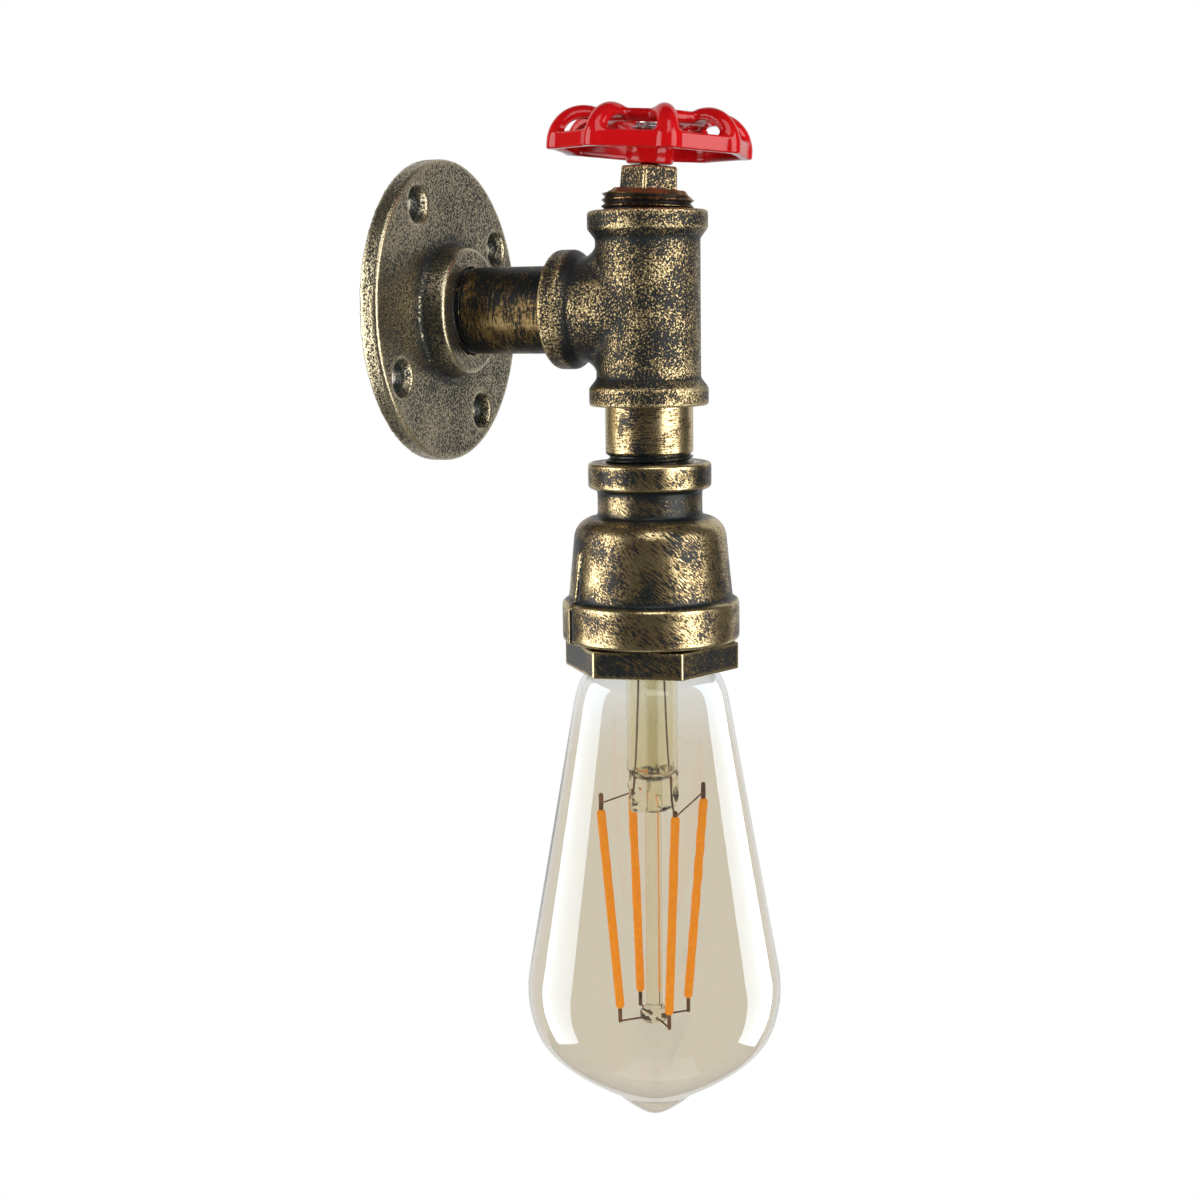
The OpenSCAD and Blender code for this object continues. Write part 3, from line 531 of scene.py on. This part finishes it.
red_enamel = enamel()
zinc = metal("zinc_plate", (0.62, 0.62, 0.63, 1), (0.74, 0.74, 0.73, 1), 0.3)
brass = metal("rolled_brass", (0.66, 0.45, 0.16, 1), (0.76, 0.55, 0.23, 1), 0.26, 0.3)
cap_brass = metal("cap_brass", (0.70, 0.52, 0.25, 1), (0.78, 0.62, 0.34, 1), 0.24, 0.3)
solder = metal("tinned_contact", (0.58, 0.58, 0.56, 1), (0.7, 0.7, 0.68, 1), 0.42)
pin_copper = metal("copper_wire", (0.10, 0.05, 0.025, 1), (0.30, 0.15, 0.06, 1), 0.38)
porcelain = dull("white_porcelain", (0.80, 0.77, 0.70, 1), (0.86, 0.84, 0.78, 1), 0.16, 300)
brown_pvc = dull("brown_insulation", (0.13, 0.055, 0.022, 1), (0.17, 0.075, 0.03, 1), 0.45)
blue_pvc = dull("blue_insulation", (0.02, 0.075, 0.28, 1), (0.03, 0.10, 0.34, 1), 0.45)
orange_coat_glow = dull("orange_phosphor_glow", (0.90, 0.26, 0.002, 1), (0.97, 0.34, 0.004, 1), 0.6, 900, 0.15,
                   0.08)
# A faint orange glow on the filaments though the bulb is not lit: painted light
for key, value in (("Emission Color", (1.0, 0.34, 0.0, 1)), ("Emission Strength", 0.45)):
    orange_coat_glow.node_tree.nodes["Principled BSDF"].inputs[key].default_value = value
black_glass = dull("black_insulator", (0.008, 0.008, 0.010, 1), (0.02, 0.02, 0.024, 1), 0.12)
green_board = dull("green_board", (0.012, 0.09, 0.035, 1), (0.03, 0.15, 0.06, 1), 0.35, 700)
black_sleeve = dull("capacitor_sleeve", (0.012, 0.013, 0.018, 1), (0.03, 0.03, 0.04, 1), 0.35)
amber_glass = amber()
stem_glass = stem_clear()


# Pipe fittings

for name, cad_node, grain, rounds, slot, finish in (
        ("flange", "wall_flange", 0.45, 2, "flange_bronze", flange_gilt),
        ("tee", "pipe_tee", 0.38, 2, "tee_bronze", tee_gilt),
        ("bell", "bell_reducer", 0.4, 2, "bell_bronze", bell_gilt),
        ("bushing", "hex_bushing", 0.32, 1, "hex_bronze", hex_gilt)):
    casting = mark_wear_and_shade(cast(name, cad_node, grain, rounds))
    fit(casting, "fixture", slot, finish, cad_node)


def nipple(name, ends, bare, where, finish, cad_node):
    """A length of pipe between two ends, threaded as far as its bare middle."""
    foot, top = ends
    bare_foot, bare_top = bare
    barrel = turned(name, [
        (PIPE_BORE_R, bare_foot), (PIPE_R - 0.4, bare_foot), (PIPE_R, bare_foot + 0.4),
        (PIPE_R, bare_top - 0.4), (PIPE_R - 0.4, bare_top), (PIPE_BORE_R, bare_top)], where)
    fit(smooth(barrel), "fixture", "pipe_bronze", finish, cad_node)
    lower = threaded(name + "_lower", PIPE_R - 1.0, PIPE_R - 0.05, PIPE_PITCH, foot, bare_foot, 1.6)
    upper = threaded(name + "_upper", PIPE_R - 1.0, PIPE_R - 0.05, PIPE_PITCH, bare_top, top, 1.6)
    threads = place(joined(name + "_threads", [lower, upper]), where)
    fit(smooth(threads), "fixture", "pipe_bronze", thread_dark)


nipple("arm", ARM_ENDS, ARM_BARE, ON_WALL, pipe_gilt, "arm_nipple")
nipple("drop", DROP_ENDS, DROP_BARE, ON_AXIS, drop_gilt, "drop_nipple")


# Plug, handwheel and screw

def plug_head():
    """Square head: a cube narrowed at its top, with soft edges."""
    height = PLUG_HEAD_TOP - PLUG_HEAD_FOOT + 1
    head = block("head", (PLUG_HEAD_W, PLUG_HEAD_W, height), (0, 0, PLUG_HEAD_TOP - height / 2),
                 radians(PLUG_HEAD_TURN))
    bpy.ops.object.mode_set(mode="EDIT")
    bpy.ops.mesh.select_all(action="DESELECT")
    close()
    for face in head.data.polygons:
        face.select = face.normal.z > 0.9
    bpy.ops.object.mode_set(mode="EDIT")
    bpy.ops.transform.resize(value=(0.95, 0.95, 1))
    close()
    modify(head, "BEVEL", width=0.5 * MM, segments=3, limit_method="ANGLE")
    return head


def plug():
    """Plug: a rusty bare thread, and a body with a square head that is tapped for the screw."""
    thread = threaded("plug_thread", PIPE_R - 0.4, PIPE_R + 0.4, PLUG_PITCH, -2, PLUG_HEAD_FOOT - 0.4,
                      1.5, 0.08)
    fit(mark_wear_and_shade(smooth(place(thread, ON_PLUG))), "fixture", "plug_bronze", thread_rust)
    shoulder = turned("shoulder", [
        (0, -9), (PIPE_R - 1, -9), (PIPE_R - 1, PLUG_HEAD_FOOT - 0.3), (PIPE_R - 2, PLUG_HEAD_FOOT),
        (0, PLUG_HEAD_FOOT)], AT_ORIGIN, closed=False)
    body = joined("plug", [shoulder, plug_head()])
    tap_r = SCREW_R + 0.05
    cut(body, turned("tap", [(0, 3), (tap_r, 3), (tap_r, 12), (0, 12)], AT_ORIGIN, 32, False))
    softened(body, 0.3, 2)
    return place(mark_wear_and_shade(body), ON_PLUG)


fit(plug(), "fixture", "plug_bronze", plug_gilt, "valve_plug")


def slimmed(wheel):
    """Draws each bar in sideways, above the rim."""
    for _ in range(LOBES):
        edit(wheel)
        bpy.ops.mesh.select_mode(type="VERT")
        bpy.ops.mesh.select_all(action="DESELECT")
        close()
        for p in wheel.data.vertices:
            on_bar = p.co.x > BAR_FROM * MM and abs(p.co.y) < BAR_HALF_W * MM
            p.select = on_bar and p.co.z > (RIM_FOOT + RIM_H) * MM
        bpy.ops.object.mode_set(mode="EDIT")
        bpy.ops.transform.resize(value=(1, BAR_SLIM, 1), center_override=(0, 0, 0))
        close()
        place(wheel, Matrix.Rotation(tau / LOBES, 4, "Z"))
    return wheel


def rim_band():
    """The outside of the rim: straight sides that run from bar to bar, flush with them."""
    bpy.ops.object.select_all(action="DESELECT")
    bpy.ops.mesh.primitive_cylinder_add(vertices=LOBES, radius=(WHEEL_R - 0.1) * MM, depth=RIM_H * MM,
                                        end_fill_type="NOTHING", location=(0, 0, RIM_MID * MM))
    band = named("band")
    place(band, Matrix.Translation(band.location))
    for p in band.data.vertices:
        p.select = p.co.z > RIM_MID * MM
    bpy.ops.object.mode_set(mode="EDIT")
    bpy.ops.transform.resize(value=(RIM_TAPER, RIM_TAPER, 1), center_override=(0, 0, RIM_FOOT * MM))
    close()
    return modify(band, "SOLIDIFY", thickness=RIM_T * MM, offset=-1)


wheel = place(merged("wheel", "handwheel"), Matrix.Rotation(-LOBE_TURN, 4, "Z") @ ON_PLUG.inverted())
wheel = joined("red_wheel", [slimmed(wheel), rim_band()])
place(wheel, ON_PLUG @ Matrix.Rotation(LOBE_TURN, 4, "Z"))
# Swelling the wheel and drawing it back fills its inside corners
for push in (CORNER_FILL, -CORNER_FILL):
    modify(wheel, "REMESH", mode="VOXEL", voxel_size=CORNER_GRAIN * MM)
    modify(wheel, "DISPLACE", strength=push * MM, mid_level=0)
mark_wear_and_shade(softened(wheel, 0.27, 8))
fit(wheel, "handwheel", "wheel_red", red_enamel, "handwheel")

washer = turned("washer", [
    (SCREW_R + 0.05, WASHER_FOOT), (WASHER_R - 0.2, WASHER_FOOT), (WASHER_R, WASHER_FOOT + 0.2),
    (WASHER_R, WASHER_TOP - 0.2), (WASHER_R - 0.2, WASHER_TOP), (SCREW_R + 0.05, WASHER_TOP)], ON_PLUG, 64)
fit(smooth(washer), "fixture", "zinc", zinc, "wheel_washer")


def screw():
    """Pan-head screw with a cross recess."""
    shape = turned("screw", [
        (0, PLUG_HEAD_TOP - 7), (SCREW_R - 0.4, PLUG_HEAD_TOP - 7), (SCREW_R, PLUG_HEAD_TOP - 6.5),
        (SCREW_R, WASHER_TOP), (SCREW_HEAD_R - 0.1, WASHER_TOP), (SCREW_HEAD_R, WASHER_TOP + 0.2),
        (SCREW_HEAD_R, WASHER_TOP + 1.1), (3.4, WASHER_TOP + 1.8), (2.7, WASHER_TOP + 2.25),
        (1.6, SCREW_TOP), (0, SCREW_TOP)], AT_ORIGIN, 64, False)
    for turn in (0, pi / 2):
        cut(shape, block("recess", (4.4, 0.9, 3), (0, 0, SCREW_TOP), turn))
    return place(shape, ON_PLUG)


fit(smooth(screw()), "fixture", "zinc", zinc, "wheel_screw")


# Lampholder

rolled = threaded("rolled", SHELL_R, SOCKET_R - 0.1, LAMP_PITCH, HOLDER_FOOT + 0.8, SOCKET_FLOOR - 0.3,
                  0.25, 0.1)
hole_r, rim_r = SHELL_TOP_R
shell_top = turned("shell_top", [
    (hole_r, SOCKET_FLOOR - 0.45), (rim_r, SOCKET_FLOOR - 0.45), (rim_r, SOCKET_FLOOR - 0.05),
    (hole_r, SOCKET_FLOOR - 0.05)], AT_ORIGIN)
shell = place(joined("shell", [rolled, shell_top]), ON_AXIS)
fit(smooth(shell, 60), "fixture", "brass", brass, "holder_shell")

# Small inner pieces of the lampholder and the bulb's cap, which keep their nodes' shapes
for name, body, slot, finish in (
        ("holder_contact", "fixture", "brass", brass),
        ("holder_terminals", "fixture", "brass", brass),
        ("terminal_screws", "fixture", "brass", brass),
        ("live_lead", "fixture", "lead_brown", brown_pvc),
        ("neutral_lead", "fixture", "lead_blue", blue_pvc),
        ("driver_capacitor", "lamp", "capacitor_black", black_sleeve),
        ("cap_insulator", "lamp", "cap_black", black_glass),
        ("cap_contact", "lamp_contact", "solder", solder)):
    fit(smooth(merged(name + "_piece", name)), body, slot, finish, name)
fit(cast("porcelain_body", "holder_body", 0.4, 2), "fixture", "porcelain", porcelain, "holder_body")


# Bulb

def curve(a, b, c, d, n=12):
    """Points of a cubic curve."""
    a, b, c, d = (Vector(p) for p in (a, b, c, d))
    return [tuple((1 - t) ** 3 * a + 3 * (1 - t) ** 2 * t * b + 3 * (1 - t) * t * t * c + t ** 3 * d)
            for t in (i / n for i in range(n + 1))]


def down(outline):
    """Heights of an outline that is given as distances below the contact."""
    return [(r, -d) for r, d in outline]


def glass_outline(t):
    """The pear, set in by t, from its neck down to the end of its drawn nose."""
    neck = curve((NECK_R + 0.9 - t, 26.2 + 0.7 * t), (17.3 - t, 26.4 + 0.7 * t),
                 (18.2 - t, 29.0 + 0.4 * t), (19.4 - t, 34.2 + 0.2 * t))
    angles = [BELLY_FROM + (NOSE_FROM - BELLY_FROM) * i / BELLY_STEPS for i in range(BELLY_STEPS + 1)]
    belly = [((BULB_R - t) * cos(a), BELLY_MID + (BELLY_H - t) * sin(a)) for a in angles]
    start = Vector(belly[-1])
    fall = Vector((-sin(NOSE_FROM) * BULB_R, cos(NOSE_FROM) * BELLY_H)).normalized()
    slope = Vector((-cos(NOSE_SLOPE), sin(NOSE_SLOPE)))
    nose = Vector((NOSE_R, BULB_LEN - NOSE_H)) - 0.6 * t * Vector((sin(NOSE_SLOPE), cos(NOSE_SLOPE)))
    end = BULB_LEN - 0.5 * t
    run_in = curve(start, start + 7.7 * fall, nose - 3.2 * slope, nose, 20)[1:]
    point = curve(nose, nose + 2.2 * slope, (3.7 - 0.5 * t, end), (0, end))[1:]
    return [(NECK_R - t, CAP_LEN - 6), (NECK_R - t, CAP_LEN)] + neck + belly + run_in + point


def pear():
    """Blown glass: its outside down to the nose, and its inside up again."""
    return turned("pear", down(glass_outline(0) + glass_outline(GLASS_T)[::-1]), ON_LAMP, 128)


bulb = fit(smooth(pear(), 60), "lamp", "amber_glass", amber_glass, "bulb_glass")

melt = bpy.data.textures.new("melted_lumps", "CLOUDS")
melt.noise_scale = 3.2 * MM


def stem():
    """Glass stem: a flared tube with a pump tube inside, a flat press, a rod and a bead."""
    flare = NECK_R - GLASS_T - 0.05
    bore = STEM_R - GLASS_T
    tube = turned("tube", down(
        curve((flare, CAP_LEN - 3), (flare - 3, CAP_LEN - 2.5), (STEM_R, CAP_LEN), (STEM_R, CAP_LEN + 4))
        + [(STEM_R, STEM_LEN), (0.7 * STEM_R, STEM_LEN + 2), (0, STEM_LEN + 2), (0, STEM_LEN + 1),
           (0.6 * STEM_R, STEM_LEN + 1), (bore, STEM_LEN - 0.5)]
        + curve((bore, CAP_LEN + 4), (bore, CAP_LEN - 0.6), (flare - 4, CAP_LEN - 3),
                (flare - 0.3, CAP_LEN - 3.6))
    ), AT_ORIGIN, 64)
    pump = turned("pump", down([
        (0.9, CAP_LEN - 4), (1.6, CAP_LEN - 4), (1.6, STEM_LEN + 1), (0.9, STEM_LEN + 1)]), AT_ORIGIN, 32)
    rod = turned("rod", down([
        (0, STEM_LEN + 3), (ROD_R, STEM_LEN + 3), (ROD_R, STAR_LEVEL - 2.5), (2.9, STAR_LEVEL - 2.5),
        (3.7, STAR_LEVEL - 1.5), (3.7, STAR_LEVEL + 0.1), (2.8, STAR_LEVEL + 1.1),
        (0, STAR_LEVEL + 1.3)]), AT_ORIGIN, 48, False)
    press = block("press", (PRESS_W, PRESS_T, PRESS_H + 2), (0, 0, -(STEM_LEN + PRESS_H / 2 + 0.5)),
                  PRESS_TURN)
    modify(press, "BEVEL", width=1.6 * MM, segments=4)
    modify(press, "REMESH", mode="VOXEL", voxel_size=0.4 * MM)
    modify(press, "DISPLACE", texture=melt, texture_coords="LOCAL", strength=1.6 * MM, mid_level=0.5)
    modify(press, "SMOOTH", factor=0.5, iterations=4)
    return place(joined("stem", [tube, pump, rod, press]), ON_LAMP)


bulb_stem = fit(smooth(stem(), 50), "lamp", "stem_glass", stem_glass, "bulb_stem")


def around(i, r, d):
    """Place on the circle of filaments, at radius r and distance d below the contact."""
    angle = radians(45 + 90 * i)
    return Vector((r * cos(angle), r * sin(angle), -d))


def rod_between(name, a, b, radius, where):
    """A rod with round ends between two places."""
    bpy.ops.object.select_all(action="DESELECT")
    span = b - a
    bpy.ops.mesh.primitive_cylinder_add(vertices=24, radius=radius * MM,
                                        depth=(span.length + 2 * radius) * MM)
    rod = named(name)
    modify(rod, "BEVEL", width=0.92 * radius * MM, segments=5, limit_method="ANGLE")
    lie = span.to_track_quat("Z", "Y").to_matrix().to_4x4()
    return place(rod, where @ Matrix.Translation((a + b) / 2 * MM) @ lie)


rods = [rod_between("filament", around(i, FILAMENT_TOP_R, FILAMENT_START),
                    around(i, FILAMENT_FOOT_R, FILAMENT_START + FILAMENT_LEN), FILAMENT_R, ON_LAMP)
        for i in range(4)]
filaments = fit(smooth(joined("filaments", rods), 50), "lamp", "filament", orange_coat_glow, "bulb_filaments")


def bulb_wires():
    """Lead-in wires, the pins of the filaments and the star that joins them at the bottom."""
    pieces = []
    lift = Vector((0, 0, 1))
    for near, far in ((0, 1), (2, 3)):
        near_top = around(near, FILAMENT_TOP_R, FILAMENT_START - 0.8)
        far_top = around(far, FILAMENT_TOP_R, FILAMENT_START)
        pieces.append(drawn("lead_in", [
            around(far, 3.4, CAP_LEN + 2), around(far, 4.2, STEM_LEN - 6), around(far, 5, STEM_LEN + 4),
            around(far, 5, STEM_LEN + PRESS_H - 1), near_top,
            around(near, FILAMENT_TOP_R, FILAMENT_START + 1)], WIRE_R, ON_LAMP))
        pieces.append(rod_between("far_pin", far_top - lift, far_top + 4.6 * lift, PIN_R, ON_LAMP))
        pieces.append(rod_between("near_pin", near_top - 2 * lift, near_top + lift, PIN_R, ON_LAMP))
        pieces.append(drawn("bridge", [far_top + 2.6 * lift, near_top], BRIDGE_R, ON_LAMP, 0))
    for i in range(4):
        foot = around(i, FILAMENT_FOOT_R, FILAMENT_START + FILAMENT_LEN - 1)
        star = around(i, FILAMENT_FOOT_R, STAR_LEVEL)
        pieces.append(rod_between("foot_pin", foot, star, FOOT_PIN_R, ON_LAMP))
        pieces.append(drawn("star", [star, around(i, 1.2, STAR_LEVEL)], WIRE_R, ON_LAMP, 0))
    return joined("wires", pieces)


wires = fit(smooth(bulb_wires(), 50), "lamp", "bulb_wire", pin_copper, "filament_wires")

# The cap: its rolled thread between a rim at the top and a flared skirt on the glass
cap_thread = threaded("cap_thread", CAP_R - 0.85, CAP_R, LAMP_PITCH, -CAP_LEN + 5.4, -5.6, 0.35, 0.12)
cap_rim = turned("cap_rim", down([
    (12.1, 5), (12.5, 5), (12.75, 5.6), (12.5, 6.2), (12.1, 6.2)]), AT_ORIGIN, 72)
cap_skirt = turned("cap_skirt", down([
    (12.1, 19), (12.5, 19), (13.0, 21.5), (13.3, 23), (13.3, 24.7), (13.0, CAP_LEN), (12.55, CAP_LEN),
    (12.55, 22)]), AT_ORIGIN, 72)
cap = place(joined("cap", [cap_thread, cap_rim, cap_skirt]), ON_LAMP)
fit(smooth(cap, 60), "lamp", "cap_brass", cap_brass, "bulb_cap")


def chip(across, d, wide, tall, thick):
    """A moulded part on the driver board's back, at distance d below the contact."""
    part = block("chip", (wide, thick, tall), (across, -(BOARD_T + thick) / 2, -d))
    return modify(part, "BEVEL", width=0.2 * MM, segments=2)


board = merged("driver_board_piece", "driver_board")
modify(board, "BEVEL", width=0.15 * MM, segments=2)
fit(smooth(board), "lamp", "board_green", green_board, "driver_board")
chips = joined("driver_chips", [
    chip(-2.6, 11, 6, 4.4, 1.7), chip(4.2, 8.8, 3.4, 1.8, 0.8), chip(4.2, 12.6, 3.4, 1.8, 0.8)])
fit(smooth(place(chips, ON_LAMP)), "lamp", "capacitor_black", black_sleeve)


# Studio

def studio_card(name, mirrored):
    """A card that is white where it is seen or looked through, paler in mirrors, and plain elsewhere."""
    finish, tree, main = new_finish(name, base_color=(0.8, 0.8, 0.8, 1), roughness=0.9)
    rays = node(tree, "LightPath").outputs
    seen = maths(tree, "MAXIMUM", rays["Is Camera Ray"], rays["Is Transmission Ray"])
    if mirrored:
        seen = maths(tree, "MAXIMUM", seen, maths(tree, "MULTIPLY", rays["Is Glossy Ray"], mirrored))
    glow = node(tree, "Emission", {"Color": (1, 1, 1, 1), "Strength": 1.0})
    both = node(tree, "MixShader", {0: seen, 1: main.outputs[0], 2: glow.outputs[0]})
    link(tree, both.outputs[0], tree.nodes["Material Output"].inputs["Surface"])
    return finish


CARD_SIZE = 6
bpy.ops.object.select_all(action="DESELECT")
bpy.ops.mesh.primitive_plane_add(size=CARD_SIZE, location=(0.9, 0, -2.0))
floor = named("floor")
floor.data.materials.append(studio_card("floor_white", 0))
bpy.ops.mesh.primitive_plane_add(size=CARD_SIZE, location=(1.8, 0.79, 0),
                                 rotation=(0, pi / 2, radians(23.7)))
backdrop = named("backdrop")
backdrop.data.materials.append(studio_card("backdrop_white", 0.6))

world = bpy.data.worlds.new("studio")
bpy.context.scene.world = world
world.use_nodes = True
sky = world.node_tree.nodes["Background"]
rays = node(world.node_tree, "LightPath").outputs
seen = maths(world.node_tree, "MAXIMUM", rays["Is Camera Ray"], rays["Is Transmission Ray"])
link(world.node_tree, ramp(world.node_tree, seen, 0, 1, 0.03, 1.0), sky.inputs["Strength"])
sky.inputs["Color"].default_value = (1, 1, 1, 1)

FORWARD = Vector((0.90566, 0.39754, -0.14743)).normalized()
RIGHT = FORWARD.cross(Vector((0, 0, 1))).normalized()
SUBJECT = Vector((0, -0.05, -0.075))


def softbox(name, bearing, height, distance, width, tall, glow, turned_on=None, colour=(1, 1, 1)):
    """A lamp card that faces the object, at a bearing to the right of the camera.

    It isn't seen through glass, only as a reflection on it.
    """
    level = Vector((FORWARD.x, FORWARD.y, 0)).normalized()
    towards = -level * cos(radians(bearing)) + RIGHT * sin(radians(bearing))
    spot = SUBJECT + towards * distance + Vector((0, 0, height))
    lamp = bpy.data.lights.new(name, "AREA")
    lamp.shape = "RECTANGLE"
    lamp.size = width
    lamp.size_y = tall
    lamp.energy = glow * pi * width * tall
    lamp.color = colour
    card = bpy.data.objects.new(name, lamp)
    bpy.context.scene.collection.objects.link(card)
    card.location = spot
    card.rotation_euler = (SUBJECT - spot).to_track_quat("-Z", "Y").to_euler()
    card.light_linking.receiver_collection = turned_on
    card.visible_transmission = False


def lit_set(name, pieces, state):
    """Pieces that a card is turned on, or flagged from."""
    pieces_set = bpy.data.collections.new(name)
    for piece in pieces:
        pieces_set.objects.link(piece)
    for member in pieces_set.collection_objects:
        member.light_linking.link_state = state
    return pieces_set


# The glass has its own cards, two of them cool, and those of the metal are flagged from it
COOL = (0.74, 0.86, 1.0)
glassware = [bulb, bulb_stem, filaments, wires]
on_glass = lit_set("lit_as_glass", glassware, "INCLUDE")
on_metal = lit_set("lit_as_metal", glassware, "EXCLUDE")
softbox("right_strip", 108, 0.12, 0.75, 0.62, 1.9, 7.2, on_glass, COOL)
softbox("left_strip", -100, 0.12, 0.75, 0.60, 1.9, 7.4, on_glass, COOL)
softbox("low_card", 10, -0.8, 0.2, 0.6, 0.6, 0.5, on_glass)
softbox("right_card", 56, 0, 1.0, 0.8, 1.4, 4.0, on_metal)
softbox("left_card", -76, 0, 1.0, 0.8, 1.4, 3.8, on_metal)
softbox("top_box", 10, 0.95, 0.85, 0.7, 0.7, 2.8)

# Camera
EYE = Vector((-0.44447, -0.24009, 0))
LENS = 58.506
SENSOR = 36
ROLL = radians(-0.742)
upward = RIGHT.cross(FORWARD)
across = RIGHT * cos(ROLL) + upward * sin(ROLL)
upright = upward * cos(ROLL) - RIGHT * sin(ROLL)
lens = bpy.data.cameras.new("photo_camera")
lens.lens = LENS
lens.sensor_width = SENSOR
camera = bpy.data.objects.new("photo_camera", lens)
bpy.context.scene.collection.objects.link(camera)
facing = Matrix((across, upright, -FORWARD)).transposed().to_4x4()
camera.matrix_world = Matrix.Translation(EYE) @ facing
bpy.context.scene.camera = camera
bpy.context.scene.view_settings.view_transform = "Standard"
